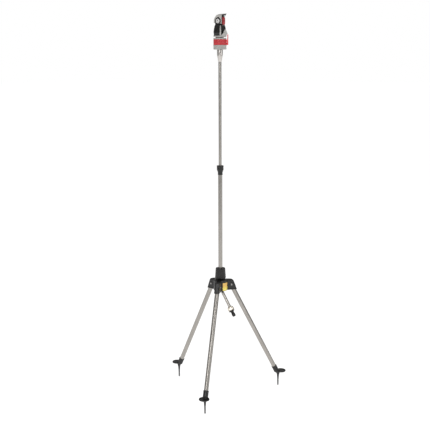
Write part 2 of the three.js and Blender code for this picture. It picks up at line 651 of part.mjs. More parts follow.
function turretBody() {
  const { half, corner, bottom, top } = TOWER;
  const block = prism(roundedRect(half, half, corner), bottom, top, { steps: 8, curveSegments: 5 });
  const tower = bent(block, (v) => {
    const scale = towerScale(v.z);
    v.x *= scale;
    v.y *= scale;
  });
  const barrel = acrossBore(BLOCK_R, BLOCK_HALF, FINE);
  const neck = outline([
    [-23, 1970], [22, 1970], [24, 1973], [24, 2006], [20, 2009], [0, 2009], [-22, 1992], [-23, 1987],
  ]);
  const snout = solid(slab(neck, BLOCK_HALF - 0.4));
  const waterway = solid(turned([
    [0, bottom - 1], [SHAFT_R + GAP, bottom - 1], [SHAFT_R + GAP, 1932], [5.5, 1934], [5.5, 1999], [0, 1999],
  ]));
  const outletBore = turned([[0, 0], [5.5, 0], [5.5, 12], [7.8, 12], [7.8, 30], [0, 30]], 24);
  const outlet = solid(outletBore.rotateY(Math.PI / 2));
  const ends = [-1, 1].map((side) => {
    const hole = solid(rod(2.4, 7.2, 15, SMALL).rotateX((side * Math.PI) / 2));
    return hole.translate([TILT_AXIS.x, 0, TILT_AXIS.z]);
  });
  const grooves = RIB_ANGLES.map((angle) => rib(angle, GAP + 0.1, 4));
  const body = join(solid(tower), barrel, snout);
  return cut(body, waterway, outlet.translate([0, 0, JET_Z]), ...ends, ...grooves);
}

// A red face, bulged forward at the middle, with its main jet and two low jets.
function nozzle() {
  const faceShape = roundedRect(19.8, 9.8, 7);
  const face = bent(new THREE.ExtrudeGeometry(faceShape, { depth: 3, steps: 1, curveSegments: 6 }), (v) => {
    const bulge = v.z > 1 ? 3 * (1 - (v.x / 19.8) ** 2) - 1 : 0;
    v.z += bulge;
  }).rotateY(Math.PI / 2);
  const plug = solid(rod(7.5, -11, 2, 24).rotateY(Math.PI / 2));
  const jet = solid(rod(4, -12, 9, SMALL).rotateY(Math.PI / 2));
  const lowJets = [-4.5, 4.5].map((y) => {
    const hole = solid(rod(1.3, -3, 9, 12).rotateY(Math.PI / 2));
    return hole.translate([0, y, -11.5]);
  });
  const drilled = cut(solid(face).add(plug), jet, ...lowJets);
  return drilled.translate([24.3, 0, JET_Z]);
}

// The hood seen from the side, with the pivot at the origin: hem, round back, roof and swept front edge.
function hoodOutline() {
  const shape = new THREE.Shape();
  shape.moveTo(-29, -9);
  shape.splineThru([
    [-28.8, -3], [-27, 5], [-23.5, 13.3], [-19.3, 19.8], [-14.2, 25.8], [-8.5, 30], [-1, 33], [8, 34.7],
    [20, 35.5], [33, 35.7],
  ].map(([x, y]) => new THREE.Vector2(x, y)));
  shape.lineTo(33.5, 35.2);
  shape.splineThru([[30, 28], [25.8, 21], [25, 14], [26.4, 8], [27, 0], [26, -7], [24, -12.8]]
    .map(([x, y]) => new THREE.Vector2(x, y)));
  shape.lineTo(22, -14);
  shape.lineTo(11, -14);
  return shape;
}

// The hood and its visor seen from above: squared behind, drawn in to a beak in front.
function hoodPlan(half) {
  const shape = new THREE.Shape();
  shape.moveTo(-29, 5 - half);
  shape.quadraticCurveTo(-29, -half, -23, -half);
  shape.lineTo(15, -half);
  shape.quadraticCurveTo(24, -half, 34, -6.5);
  shape.lineTo(46.2, -1.8);
  shape.quadraticCurveTo(47.6, 0, 46.2, 1.8);
  shape.lineTo(34, 6.5);
  shape.quadraticCurveTo(24, half, 15, half);
  shape.lineTo(-23, half);
  shape.quadraticCurveTo(-29, half, -29, half - 5);
  return shape;
}

// The hood seen from in front: a crowned roof over straight sides.
function hoodCrown() {
  const shape = new THREE.Shape();
  shape.moveTo(-HOOD_HALF, -40);
  shape.lineTo(HOOD_HALF, -40);
  shape.lineTo(HOOD_HALF, 24);
  shape.quadraticCurveTo(HOOD_HALF - 0.5, 33.5, 6, 35.3);
  shape.quadraticCurveTo(0, 36.2, -6, 35.3);
  shape.quadraticCurveTo(0.5 - HOOD_HALF, 33.5, -HOOD_HALF, 24);
  return shape;
}

function hood() {
  const skin = solid(slab(hoodOutline(), HOOD_HALF + 1, { curveSegments: 3 }));
  const crown = solid(slab(hoodCrown(), 80, { curveSegments: 5 }).rotateZ(Math.PI / 2));
  const inner = outline([
    [60, -40], [60, 33.4], [30, 33], [18, 32.4], [8, 31.4], [0, 29.6], [-7, 26.8], [-12.4, 22.8], [-17, 17.4],
    [-20.8, 11.4], [-24.2, 4], [-26, -4], [-26, -40],
  ]);
  const cavity = solid(slab(inner, BLOCK_HALF + GAP));
  const window = solid(rod(HOOD_WINDOW, -40, 40, FINE).rotateX(Math.PI / 2));
  const plan = solid(prism(hoodPlan(HOOD_HALF), -60, 60, { curveSegments: 5 }));
  const shell = cut(skin, cavity, window).intersect(crown).intersect(plan);
  return shell.translate([TILT_AXIS.x, 0, TILT_AXIS.z]);
}

// The dark visor under the hood's roof. Its thin lips edge the hood in front, and it ends in a beak.
function visor() {
  const side = outline([
    [14, 31.2], [20, 31.8], [28, 32.2], [33.9, 32.6], [34.2, 35.6], [46.6, 35.8], [47, 35], [40, 31.6],
    [34, 27.4], [30.2, 20.7], [28.3, 20.7], [29.4, 26.4], [27, 30.2], [14, 29.8],
  ]);
  const above = prism(hoodPlan(HOOD_HALF - 1.5), -60, 60, { curveSegments: 5 });
  const inside = prism(hoodPlan(HOOD_HALF - 2.6), -60, 31.4, { curveSegments: 5 });
  const channel = solid(inside).translate([-1.4, 0, 0]);
  const lips = solid(slab(side, BLOCK_HALF)).intersect(solid(above)).subtract(channel);
  return lips.translate([TILT_AXIS.x, 0, TILT_AXIS.z]);
}

function addTurret() {
  const turret = turnedGroup(TURRET_AZIMUTH);
  addPiece(turret, 'turret_shaft', ring(SHAFT_BORE, SHAFT_R, 1883.4, 1931), STEEL);
  const pinHole = solid(rod(1.7, CUP.floor - 2, CUP.floor + 7, SMALL)).translate([LEVER.pinX, 0, 0]);
  const ribs = RIB_ANGLES.map((angle) => rib(angle));
  addPiece(turret, 'turret_cup', cut(join(solid(cupShell()), ...ribs), pinHole), GREY);
  addPiece(turret, 'turret_body', turretBody(), BLACK);
  addPiece(turret, 'nozzle', nozzle(), RED);
  addPiece(turret, 'deflector_hood', hood(), GREY);
  addPiece(turret, 'deflector_blade', visor(), BLACK);

  for (const [side, sign] of [['left', 1], ['right', -1]]) {
    const stub = new THREE.Group();
    stub.position.set(TILT_AXIS.x, 0, TILT_AXIS.z);
    stub.rotation.x = (-sign * Math.PI) / 2;
    turret.add(stub);
    const cheekR = HOOD_WINDOW - GAP;
    const cheek = turned([
      [2.3, 11.3], [cheekR, 11.3], [cheekR, 12.7], [cheekR - 1, 13.6], [2.3, 13.6],
    ], FINE);
    addPiece(stub, `hood_cheek_${side}`, cheek, BLACK);
    const knob = turned([
      [2.3, 13.9], [11.6, 13.9], [11.6, 15.6], [10.4, 16.8], [5, 16.8], [4.6, 16], [2.3, 16],
    ]);
    addPiece(stub, `hood_knob_${side}`, knob, LIGHT_GREY);
    const screw = turned([
      [0, 7.5], [2, 7.5], [2, 16.3], [4, 16.3], [4, 17.4], [2.6, 18.2], [0, 18.2],
    ], SMALL);
    addPiece(stub, `hood_screw_${side}`, screw, STEEL);
  }

  const low = COVER_TOP + 1.3;
  const lever = new THREE.Shape();
  lever.absarc(0, 0, 4, Math.PI, 2 * Math.PI);
  lever.absarc(0, LEVER.length, 2.5, 0, Math.PI);
  const arm = solid(prism(lever, low, low + LEVER.thickness, { curveSegments: 8 }));
  const eye = solid(rod(1.75, low - 1, low + LEVER.thickness + 1, SMALL));
  addPiece(turret, 'trip_lever', arm.subtract(eye).translate([LEVER.pinX, 0, 0]), RED);
  addPiece(turret, 'trip_lever_pin', turned([
    [0, low - 0.8], [3, low - 0.8], [3, low - GAP], [1.4, low - GAP], [1.4, CUP.inside], [0, CUP.inside],
  ], SMALL).translate(LEVER.pinX, 0, 0), STEEL);
}

addHub();
addLegs();
addMast();
addInlet();
addBase();
addDrive();
addPiece(sprinkler, 'limit_ring_lower', limitRing('lower'), RED);
addPiece(sprinkler, 'limit_ring_upper', limitRing('upper'), RED);
addTurret();

export default sprinkler;
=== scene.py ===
"""A telescopic tripod sprinkler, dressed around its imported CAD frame: every visible piece is remade
as a fine mesh on the CAD node's place, with procedural materials, and the hidden drive keeps its CAD
solids with better finishes. Lengths in this script are millimetres until a piece is finished."""

import json
import math

import bmesh
import bpy
from mathutils import Matrix, Vector


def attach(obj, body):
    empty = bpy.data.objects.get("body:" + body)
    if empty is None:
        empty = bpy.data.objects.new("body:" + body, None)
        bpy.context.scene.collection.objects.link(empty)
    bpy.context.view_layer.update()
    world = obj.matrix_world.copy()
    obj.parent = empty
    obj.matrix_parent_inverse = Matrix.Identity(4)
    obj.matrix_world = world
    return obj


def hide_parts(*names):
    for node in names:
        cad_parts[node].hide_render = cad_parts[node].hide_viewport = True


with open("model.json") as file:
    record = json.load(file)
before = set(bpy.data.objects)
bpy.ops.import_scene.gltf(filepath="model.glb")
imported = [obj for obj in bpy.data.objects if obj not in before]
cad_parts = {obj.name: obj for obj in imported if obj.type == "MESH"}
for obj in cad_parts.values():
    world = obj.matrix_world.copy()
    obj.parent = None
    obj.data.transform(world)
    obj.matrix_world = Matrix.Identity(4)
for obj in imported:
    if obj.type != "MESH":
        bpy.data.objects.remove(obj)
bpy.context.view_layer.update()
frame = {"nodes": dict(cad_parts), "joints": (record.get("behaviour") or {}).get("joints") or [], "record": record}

# ------------------------------------------------------------------ places and sizes: the mast's place from the frame, the rest given here
MM = 0.001
JOINTS = {joint["name"]: joint for joint in frame["joints"]}


def joint_place(name):
    return Vector(JOINTS[name]["pos_m"]) / MM


MAST_Y = joint_place("turret_spin").y
SIDES = {"front": -90, "right": 30, "left": 150}
SPLAY = 27.2
PIVOT_R, PIVOT_Z = 58, 603
LEG_LENGTH = 548
LEG_R, LOWER_R, UPPER_R = 12, 11.1, 7.95
RIVET_HOLE_R = 3.3
INLET_AZIMUTH, INLET_TILT, INLET_Z = -30, 37.2, 583.2
TURRET_AZIMUTH = -25.5
HOOD_X, HOOD_Z = -2, 1994.5
LEVER_X = -25
SMOOTH_ANGLE = math.radians(38)


def place(azimuth=0, x=0.0, z=0.0, tilt=0.0):
    """From a piece's own millimetres to the row's: turned about the mast, moved, then tilted about Y."""
    to_mast = Matrix.Translation((0, MAST_Y, 0)) @ Matrix.Rotation(math.radians(azimuth), 4, "Z")
    return to_mast @ Matrix.Translation((x, 0, z)) @ Matrix.Rotation(math.radians(tilt), 4, "Y")


ON_MAST = place()
ON_INLET = place(INLET_AZIMUTH, z=INLET_Z, tilt=180 - INLET_TILT)
ON_TURRET = place(TURRET_AZIMUTH)
ON_HOOD = ON_TURRET @ Matrix.Translation((HOOD_X, 0, HOOD_Z))


def on_leg(side):
    return place(SIDES[side], PIVOT_R, PIVOT_Z, 180 - SPLAY)


def tube_axes(azimuth, lean):
    """Angles that turn Z to point down a leaning tube, for grain that runs along it."""
    turn = Matrix.Rotation(math.radians(180 - lean), 3, "Y")
    return tuple((Matrix.Rotation(math.radians(azimuth), 3, "Z") @ turn).to_euler())


# ------------------------------------------------------------------ mesh tools
def rounded(corners, steps=4):
    """A polyline of (r, z) or (r, z, fillet) corners, with its fillets drawn as arcs."""
    count = len(corners)
    points = []
    for i, corner in enumerate(corners):
        here = Vector(corner[:2])
        fillet = corner[2] if len(corner) > 2 else 0
        before = Vector(corners[i - 1][:2]) - here
        after = Vector(corners[(i + 1) % count][:2]) - here
        if not fillet or before.length < 1e-6 or after.length < 1e-6:
            points.append(here)
            continue
        half = before.angle(after) / 2
        if abs(half - math.pi / 2) < 0.02:
            points.append(here)
            continue
        reach = min(fillet / math.tan(half), 0.49 * before.length, 0.49 * after.length)
        start, end = here + before.normalized() * reach, here + after.normalized() * reach
        for k in range(steps + 1):
            t = k / steps
            points.append((1 - t) ** 2 * start + 2 * t * (1 - t) * here + t * t * end)
    return points


def mesh_object(name, verts, faces):
    mesh = bpy.data.meshes.new(name)
    mesh.from_pydata([tuple(v) for v in verts], [], faces)
    obj = bpy.data.objects.new(name, mesh)
    bpy.context.collection.objects.link(obj)
    work = bmesh.new()
    work.from_mesh(mesh)
    bmesh.ops.remove_doubles(work, verts=work.verts, dist=1e-5)
    bmesh.ops.dissolve_degenerate(work, edges=work.edges, dist=1e-6)
    bmesh.ops.recalc_face_normals(work, faces=work.faces)
    if work.calc_volume(signed=True) < 0:
        bmesh.ops.reverse_faces(work, faces=work.faces)
    work.to_mesh(mesh)
    work.free()
    return obj


def lathe(name, corners, sides=64, ripple=None, steps=4):
    """A closed profile turned about Z. ripple(angle, r, z) gives the radius at that angle."""
    profile = rounded(corners, steps)
    count = len(profile)
    verts = []
    for i in range(sides):
        angle = 2 * math.pi * i / sides
        for r, z in profile:
            r = ripple(angle, r, z) if ripple else r
            verts.append((r * math.cos(angle), r * math.sin(angle), z))
    faces = []
    for i in range(sides):
        j = (i + 1) % sides
        for k in range(count):
            m = (k + 1) % count
            if profile[k][0] == 0 and profile[m][0] == 0:
                continue
            faces.append((i * count + k, j * count + k, j * count + m, i * count + m))
    return mesh_object(name, verts, faces)


def loft(name, loops):
    """Closed loops of equal length joined into one capped solid."""
    count = len(loops[0])
    verts = [point for loop in loops for point in loop]
    faces = [tuple(range(count)), tuple(range((len(loops) - 1) * count, len(loops) * count))]
    for i in range(len(loops) - 1):
        for k in range(count):
            m = (k + 1) % count
            faces.append((i * count + k, i * count + m, (i + 1) * count + m, (i + 1) * count + k))
    return mesh_object(name, verts, faces)


def prism(name, outline, low, high):
    return loft(name, [[(x, y, z) for x, y in outline] for z in (low, high)])


def slab(name, outline, half):
    """An outline in XZ, extruded to both sides of Y = 0."""
    return loft(name, [[(x, y, z) for x, z in outline] for y in (-half, half)])


def rod(name, r, low, high, sides=40, edge=0.0):
    return lathe(name, [(0, low), (r, low, edge), (r, high, edge), (0, high)], sides)


def moved(obj, matrix):
    obj.data.transform(matrix)
    return obj


def across(obj):
    """Turns a piece made along Z to lie along Y."""
    return moved(obj, Matrix.Rotation(math.radians(-90), 4, "X"))


def along_x(obj):
    return moved(obj, Matrix.Rotation(math.radians(90), 4, "Y"))


def apply_modifiers(obj):
    graph = bpy.context.evaluated_depsgraph_get()
    mesh = bpy.data.meshes.new_from_object(obj.evaluated_get(graph))
    old = obj.data
    obj.modifiers.clear()
    obj.data = mesh
    bpy.data.meshes.remove(old)
    return obj


def combine(obj, operation, *others):
    for other in others:
        modifier = obj.modifiers.new("combine", "BOOLEAN")
        modifier.operation = operation
        modifier.solver = "MANIFOLD"
        modifier.object = other
        apply_modifiers(obj)
        bpy.data.objects.remove(other)
    return obj


def cut(obj, *tools):
    return combine(obj, "DIFFERENCE", *tools)


def join(obj, *others):
    return combine(obj, "UNION", *others)


def common(obj, *others):
    return combine(obj, "INTERSECT", *others)


def moulded(obj, voxel, rounds=4, keep=0.35):
    """Runs edges and joins together as a moulding has them: a fine remesh, softened and thinned."""
    remesh = obj.modifiers.new("remesh", "REMESH")
    remesh.mode = "VOXEL"
    remesh.voxel_size = voxel
    soften = obj.modifiers.new("soften", "SMOOTH")
    soften.factor = 0.5
    soften.iterations = rounds
    thin = obj.modifiers.new("thin", "DECIMATE")
    thin.ratio = keep
    return apply_modifiers(obj)


def bevelled(obj, width, segments=2, angle=35):
    bevel = obj.modifiers.new("bevel", "BEVEL")
    bevel.width = width
    bevel.segments = segments
    bevel.limit_method = "ANGLE"
    bevel.angle_limit = math.radians(angle)
    return apply_modifiers(obj)


def smoothstep(low, high, value):
    t = min(1.0, max(0.0, (value - low) / (high - low)))
    return t * t * (3 - 2 * t)


def arc_points(cx, cy, r, start, end, steps):
    angles = [math.radians(start + (end - start) * k / steps) for k in range(steps + 1)]
    return [(cx + r * math.cos(a), cy + r * math.sin(a)) for a in angles]


def rounded_rect(half_x, half_y, corner, steps=6):
    x, y = half_x - corner, half_y - corner
    points = []
    for cx, cy, start in ((x, y, 0), (-x, y, 90), (-x, -y, 180), (x, -y, 270)):
        points += arc_points(cx, cy, corner, start, start + 90, steps)
    return points


def sector(inner, outer, half_angle, steps=12):
    outside = arc_points(0, 0, outer, -half_angle, half_angle, steps)
    return outside + arc_points(0, 0, inner, half_angle, -half_angle, steps)


# ------------------------------------------------------------------ materials
class Nodes:
    """A small helper that adds and links shader nodes."""

    def __init__(self, name):
        self.material = bpy.data.materials.new(name)
        self.material.use_nodes = True
        self.tree = self.material.node_tree
        self.shader = self.tree.nodes["Principled BSDF"]
        self.place = self.add("ShaderNodeTexCoord").outputs["Object"]

    def add(self, kind, **settings):
        node = self.tree.nodes.new(kind)
        for key, value in settings.items():
            setattr(node, key, value)
        return node

    def link(self, source, target):
        self.tree.links.new(source, target)

    def mapping(self, scale, rotation):
        """The place turned back by a rotation, then scaled along the turned axes."""
        node = self.add("ShaderNodeMapping", vector_type="TEXTURE")
        node.inputs["Rotation"].default_value = rotation
        node.inputs["Scale"].default_value = tuple(1 / factor for factor in scale)
        self.link(self.place, node.inputs["Vector"])
        return node.outputs["Vector"]

    def noise(self, scale, detail=3.0, vector=None, roughness=0.55):
        node = self.add("ShaderNodeTexNoise")
        node.inputs["Scale"].default_value = scale
        node.inputs["Detail"].default_value = detail
        node.inputs["Roughness"].default_value = roughness
        self.link(vector or self.place, node.inputs["Vector"])
        return node.outputs["Fac"]

    def spread(self, value, low, high, start=0.0, end=1.0):
        node = self.add("ShaderNodeMapRange")
        for key, number in (("From Min", low), ("From Max", high), ("To Min", start), ("To Max", end)):
            node.inputs[key].default_value = number
        self.link(value, node.inputs["Value"])
        return node.outputs["Result"]

    def mix(self, factor, first, second):
        node = self.add("ShaderNodeMix", data_type="RGBA")
        self.link(factor, node.inputs["Factor"])
        for socket, value in ((node.inputs["A"], first), (node.inputs["B"], second)):
            if isinstance(value, tuple):
                socket.default_value = (*value, 1)
            else:
                self.link(value, socket)
        return node.outputs["Result"]

    def bump(self, height, strength, distance, after=None):
        node = self.add("ShaderNodeBump")
        node.inputs["Strength"].default_value = strength
        node.inputs["Distance"].default_value = distance
        self.link(height, node.inputs["Height"])
        if after:
            self.link(after, node.inputs["Normal"])
        return node.outputs["Normal"]

    def edges(self, low, high):
        pointiness = self.add("ShaderNodeNewGeometry").outputs["Pointiness"]
        return self.spread(pointiness, low, high)

    def finish(self, color=None, rough=None, normal=None, **constants):
        for key, source in (("Base Color", color), ("Roughness", rough), ("Normal", normal)):
            if source is not None:
                self.link(source, self.shader.inputs[key])
        for key, value in constants.items():
            self.shader.inputs[key.replace("_", " ")].default_value = value
        return self.material


def shade(color, factor):
    return tuple(min(1.0, channel * factor) for channel in color)


def drawn_metal(name, color, rough=0.34, rotation=(0, 0, 0)):
    """Anodised drawn tube: long fine die lines, faint handling marks and dried water spots."""
    n = Nodes(name)
    lines = n.noise(1.0, 2.0, n.mapping((900, 900, 6), rotation))
    patches = n.noise(14.0, 4.0)
    spots = n.noise(160.0, 2.0)
    tone = n.mix(n.spread(patches, 0.3, 0.7), shade(color, 0.93), shade(color, 1.05))
    spotted = n.mix(n.spread(spots, 0.68, 0.8, 0, 0.35), tone, shade(color, 1.15))
    roughness = n.spread(lines, 0.25, 0.75, rough - 0.07, rough + 0.08)
    normal = n.bump(lines, 0.12, 0.0002)
    return n.finish(spotted, roughness, normal, Metallic=1.0)


def plated_metal(name, color, rough=0.16):
    """Nickel or bright steel, with faint polishing swirls and a duller film in places."""
    n = Nodes(name)
    film = n.noise(60.0, 4.0)
    swirl = n.noise(700.0, 2.0)
    tone = n.mix(n.spread(film, 0.35, 0.7), shade(color, 0.88), color)
    roughness = n.spread(film, 0.3, 0.75, rough - 0.05, rough + 0.16)
    return n.finish(tone, roughness, n.bump(swirl, 0.06, 0.0001), Metallic=1.0)


def moulded_plastic(name, color, rough, dust=0.0, dust_color=(0.32, 0.3, 0.27), grain=0.25):
    """Injection moulding: a fine spark grain, soft tone changes, paler rubbed edges and some dust."""
    n = Nodes(name)
    fine = n.noise(1400.0, 2.0)
    broad = n.noise(22.0, 4.0)
    tone = n.mix(n.spread(broad, 0.3, 0.7), shade(color, 0.86), shade(color, 1.1))
    rubbed = n.mix(n.edges(0.53, 0.66), tone, tuple(min(1.0, c * 1.35 + 0.012) for c in color))
    dusty = n.mix(n.spread(n.noise(48.0, 6.0), 0.52, 0.8, 0, dust), rubbed, dust_color)
    roughness = n.spread(broad, 0.3, 0.7, rough - 0.06, rough + 0.07)
    normal = n.bump(broad, 0.05, 0.002, n.bump(fine, grain, 0.00012))
    return n.finish(dusty, roughness, normal)


def soft_rubber(name, color):
    n = Nodes(name)
    fine = n.noise(2200.0, 3.0)
    broad = n.noise(90.0, 3.0)
    tone = n.mix(n.spread(broad, 0.35, 0.7), color, shade(color, 1.9))
    return n.finish(tone, n.spread(broad, 0.3, 0.7, 0.7, 0.85), n.bump(fine, 0.3, 0.0001))


def printed_film(name):
    """A blank weatherproof label: warm above, bright yellow below, a little faded and scuffed."""
    n = Nodes(name)
    height = n.add("ShaderNodeSeparateXYZ")
    n.link(n.place, height.inputs["Vector"])
    warm, bright = (0.80, 0.50, 0.12), (0.86, 0.70, 0.10)
    tone = n.mix(n.spread(height.outputs["Z"], 0.588, 0.602), bright, warm)
    scuffed = n.mix(n.spread(n.noise(75.0, 5.0), 0.55, 0.8, 0, 0.4), tone, (0.9, 0.82, 0.5))
    rough = n.spread(n.noise(40.0, 3.0), 0.3, 0.7, 0.32, 0.5)
    return n.finish(scuffed, rough, n.bump(n.noise(500.0, 2.0), 0.05, 0.0001))


ALUMINIUM_COLOR = (0.37, 0.35, 0.325)
BLACK_COLOR = (0.006, 0.0056, 0.0054)
GREY_COLOR = (0.4, 0.39, 0.37)
RED_COLOR = (0.55, 0.035, 0.045)

TUBE = drawn_metal("drawn_aluminium", ALUMINIUM_COLOR)
BLACK = moulded_plastic("black_moulding", BLACK_COLOR, 0.36, dust=0.04)
BLACK_GLOSS = moulded_plastic("black_gloss_moulding", BLACK_COLOR, 0.3, dust=0.05, grain=0.12)
GREY = moulded_plastic("grey_moulding", GREY_COLOR, 0.45, dust=0.1, dust_color=(0.3, 0.28, 0.24))
PALE = moulded_plastic("pale_grey_moulding", (0.6, 0.59, 0.58), 0.4, dust=0.08)
RED = moulded_plastic("red_moulding", RED_COLOR, 0.36, dust=0.06, dust_color=(0.5, 0.3, 0.27), grain=0.15)
# The red at half strength, for the nozzle: painted shade for the shadow that the hood's beak casts on it.
RED_PAINTED_SHADE = moulded_plastic("red_moulding_painted_shade", shade(RED_COLOR, 0.5), 0.4, dust=0.04, grain=0.15)
ACETAL = moulded_plastic("acetal_moulding", (0.75, 0.72, 0.66), 0.38, grain=0.1)
STEEL = plated_metal("bright_steel", (0.66, 0.65, 0.63), 0.24)
RIVET_STEEL = plated_metal("dull_steel", (0.3, 0.29, 0.28), 0.34)
NICKEL = plated_metal("nickel_plate", (0.86, 0.80, 0.70), 0.15)
ADAPTER_METAL = plated_metal("cast_nickel", (0.62, 0.59, 0.56), 0.27)
RUBBER = soft_rubber("rubber", (0.02, 0.02, 0.02))
LABEL = printed_film("label_film")

BODY_OF = {node: body for body, nodes in frame["record"]["behaviour"]["bodies"].items() for node in nodes}


def finish_piece(obj, node, material, matrix=ON_MAST):
    """Puts a piece in the row's metres, on its CAD node's body, in that node's stead."""
    obj.data.transform(Matrix.Scale(MM, 4) @ matrix)
    obj.data.materials.clear()
    obj.data.materials.append(material)
    obj.data.shade_smooth()
    obj.data.set_sharp_from_angle(angle=SMOOTH_ANGLE)
    obj.name = f"{node}_fine"
    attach(obj, BODY_OF[node])
    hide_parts(node)


# ------------------------------------------------------------------ hub
HUB_R, HUB_BOTTOM, HUB_TOP = 37, 574, 633
WING_REACH, WING_HALF, WING_LEAN, WING_FALL = 90.7, 15, 19 / 59, 0.16


def wing_loop(z, reach, half, corner, inner=8):
    """One level of a leg slot's outline, leaning in toward the mast as it rises."""
    lean = (z - HUB_BOTTOM) * WING_LEAN
    points = arc_points(reach - corner, corner - half, corner, -90, 0, 8)
    points += arc_points(reach - corner, half - corner, corner, 0, 90, 8)
    points += [(inner, half), (inner, -half)]
    loop = []
    for x, y in points:
        x = max(inner, x - lean)
        drop = max(0, x - HUB_R + 4) * WING_FALL * smoothstep(HUB_BOTTOM + 20, HUB_TOP, z)
        loop.append((x, y, z - drop))
    return loop


def hub_wing(azimuth):
    levels = [(HUB_BOTTOM, 0.6), (HUB_BOTTOM + 1, 0), (HUB_BOTTOM + 5, 0), (HUB_BOTTOM + 5.6, 0.7)]
    levels += [(HUB_BOTTOM + 10 + 9 * k, 0.7) for k in range(5)]
    levels += [(HUB_TOP - 5, 0.7), (HUB_TOP - 1.2, 1.8), (HUB_TOP + 0.8, 3.8), (HUB_TOP + 1.8, 6.8)]
    shell = loft("wing", [wing_loop(z, WING_REACH - i, WING_HALF - i, 9) for z, i in levels])
    inside = [HUB_BOTTOM - 12 + 9 * k for k in range(8)] + [HUB_TOP - 3.2, HUB_TOP - 1.6]
    insets = [0] * 8 + [0.5, 2]
    hollow = loft("hollow", [
        wing_loop(z, WING_REACH - 3.5 - i, 12.3 - i, 6, 34) for z, i in zip(inside, insets)
    ])
    bore = moved(across(rod("bore", RIVET_HOLE_R, -20, 20)), Matrix.Translation((PIVOT_R, 0, PIVOT_Z)))
    washers = [
        moved(across(rod("boss", 8.4, side * 15.1 - 0.6, side * 15.1 + 0.1, edge=0.2)),
              Matrix.Translation((PIVOT_R, 0, PIVOT_Z)))
        for side in (-1, 1)
    ]
    wing = cut(join(shell, *washers), hollow, bore)
    return moved(wing, Matrix.Rotation(math.radians(azimuth), 4, "Z"))


def make_hub():
    barrel = lathe("barrel", [
        (0, HUB_BOTTOM), (HUB_R, HUB_BOTTOM, 1.2), (HUB_R, HUB_TOP - 2, 5), (25, HUB_TOP + 2, 2),
        (22, HUB_TOP + 4, 2), (22, 676, 1), (0, 676),
    ], 96)
    throat = lathe("throat", [
        (0, 570), (25.5, 570), (24, 577, 1), (24, 596, 3), (11.5, 600), (11.5, 664), (16, 664), (16, 680),
        (0, 680),
    ], 64)
    hub = join(barrel, *[hub_wing(azimuth) for azimuth in SIDES.values()])
    hub = cut(hub, throat)
    finish_piece(moulded(hub, 0.9, 3, 0.3), "hub_body", BLACK)


def fluting(flutes, depth, low, high, fade=1.5):
    """Grip grooves cut into the outside of a nut between two heights."""
    def ripple(angle, r, z):
        inside = smoothstep(low, low + fade, z) * (1 - smoothstep(high - fade, high, z))
        wave = (0.5 + 0.5 * math.cos(flutes * angle)) ** 3
        return r - depth * wave * inside
    return ripple


def outer_only(ripple, limit):
    """Keeps a ripple off the surfaces inside a radius."""
    return lambda angle, r, z: ripple(angle, r, z) if r > limit else r


def make_hub_nut():
    grip = [(28.9 - (z - 647) * 0.066, z) for z in range(647, 692, 4)]
    nut = lathe("nut", [
        (22.5, 637), (24, 637, 0.6), (28.6, 642.5, 1.5), (29.3, 645, 0.8), *grip,
        (25.6, 692.5, 0.6), (25.2, 696, 2.2), (12.4, 696, 0.8), (11.6, 694.5), (11.6, 690.5),
        (13.9, 690.5), (16.4, 681), (16.4, 677.5), (22.5, 677.5),
    ], 336, outer_only(fluting(14, 1.5, 643.5, 692.5, 2.5), 23.5))
    finish_piece(nut, "hub_clamp_nut", BLACK)


def split_collet(node, inner, outer, low, shoulder, high, tip):
    ring = lathe("collet", [
        (inner, low), (outer, low, 0.4), (outer, shoulder, 0.6), (tip, high, 0.4), (inner, high, 0.3),
    ], 72)
    slit = prism("slit", rounded_rect(outer, 0.8, 0.1, 1), low - 2, high + 2)
    slit = moved(slit, Matrix.Translation((outer, 0, 0)))
    finish_piece(cut(ring, slit), node, ACETAL)


def make_label():
    film = prism("film", sector(HUB_R + 0.3, HUB_R + 1.0, 27, 36), HUB_BOTTOM + 2.2, 618.8)
    finish_piece(bevelled(film, 0.25), "hub_label", LABEL, place(INLET_AZIMUTH))


# ------------------------------------------------------------------ legs
def make_leg(side):
    leg = on_leg(side)
    tube = lathe("tube", [
        (10.8, -12), (LEG_R, -12, 0.4), (LEG_R, LEG_LENGTH + 29.5, 0.4), (10.8, LEG_LENGTH + 29.5),
    ], 72)
    eye = across(rod("eye", RIVET_HOLE_R, -16, 16))
    along = tube_axes(SIDES[side], SPLAY)
    metal = drawn_metal(f"drawn_aluminium_{side}", ALUMINIUM_COLOR, rotation=along)
    finish_piece(cut(tube, eye), f"leg_tube_{side}", metal, leg)

    plug = lathe("plug", [
        (0, -12), (10.4, -12, 1), (10.4, 24, 0.6), (7.5, 24, 0.4), (7.5, 9, 1), (0, 9),
    ], 48)
    plug_eye = across(rod("eye", RIVET_HOLE_R, -16, 16))
    finish_piece(cut(plug, plug_eye), f"leg_plug_{side}", BLACK, leg)

    head = [(0, -18), (3.4, -17.7, 0.8), (6, -15.9, 0.9), (6, -15.3, 0.2), (3, -15.3)]
    tail = [(3, 15.3), (6, 15.3, 0.2), (6, 15.9, 0.9), (3.4, 17.7, 0.8), (0, 18)]
    rivet = across(lathe("rivet", head + tail, 48))
    finish_piece(rivet, f"leg_rivet_{side}", RIVET_STEEL, place(SIDES[side], PIVOT_R, PIVOT_Z))
    make_foot(side)


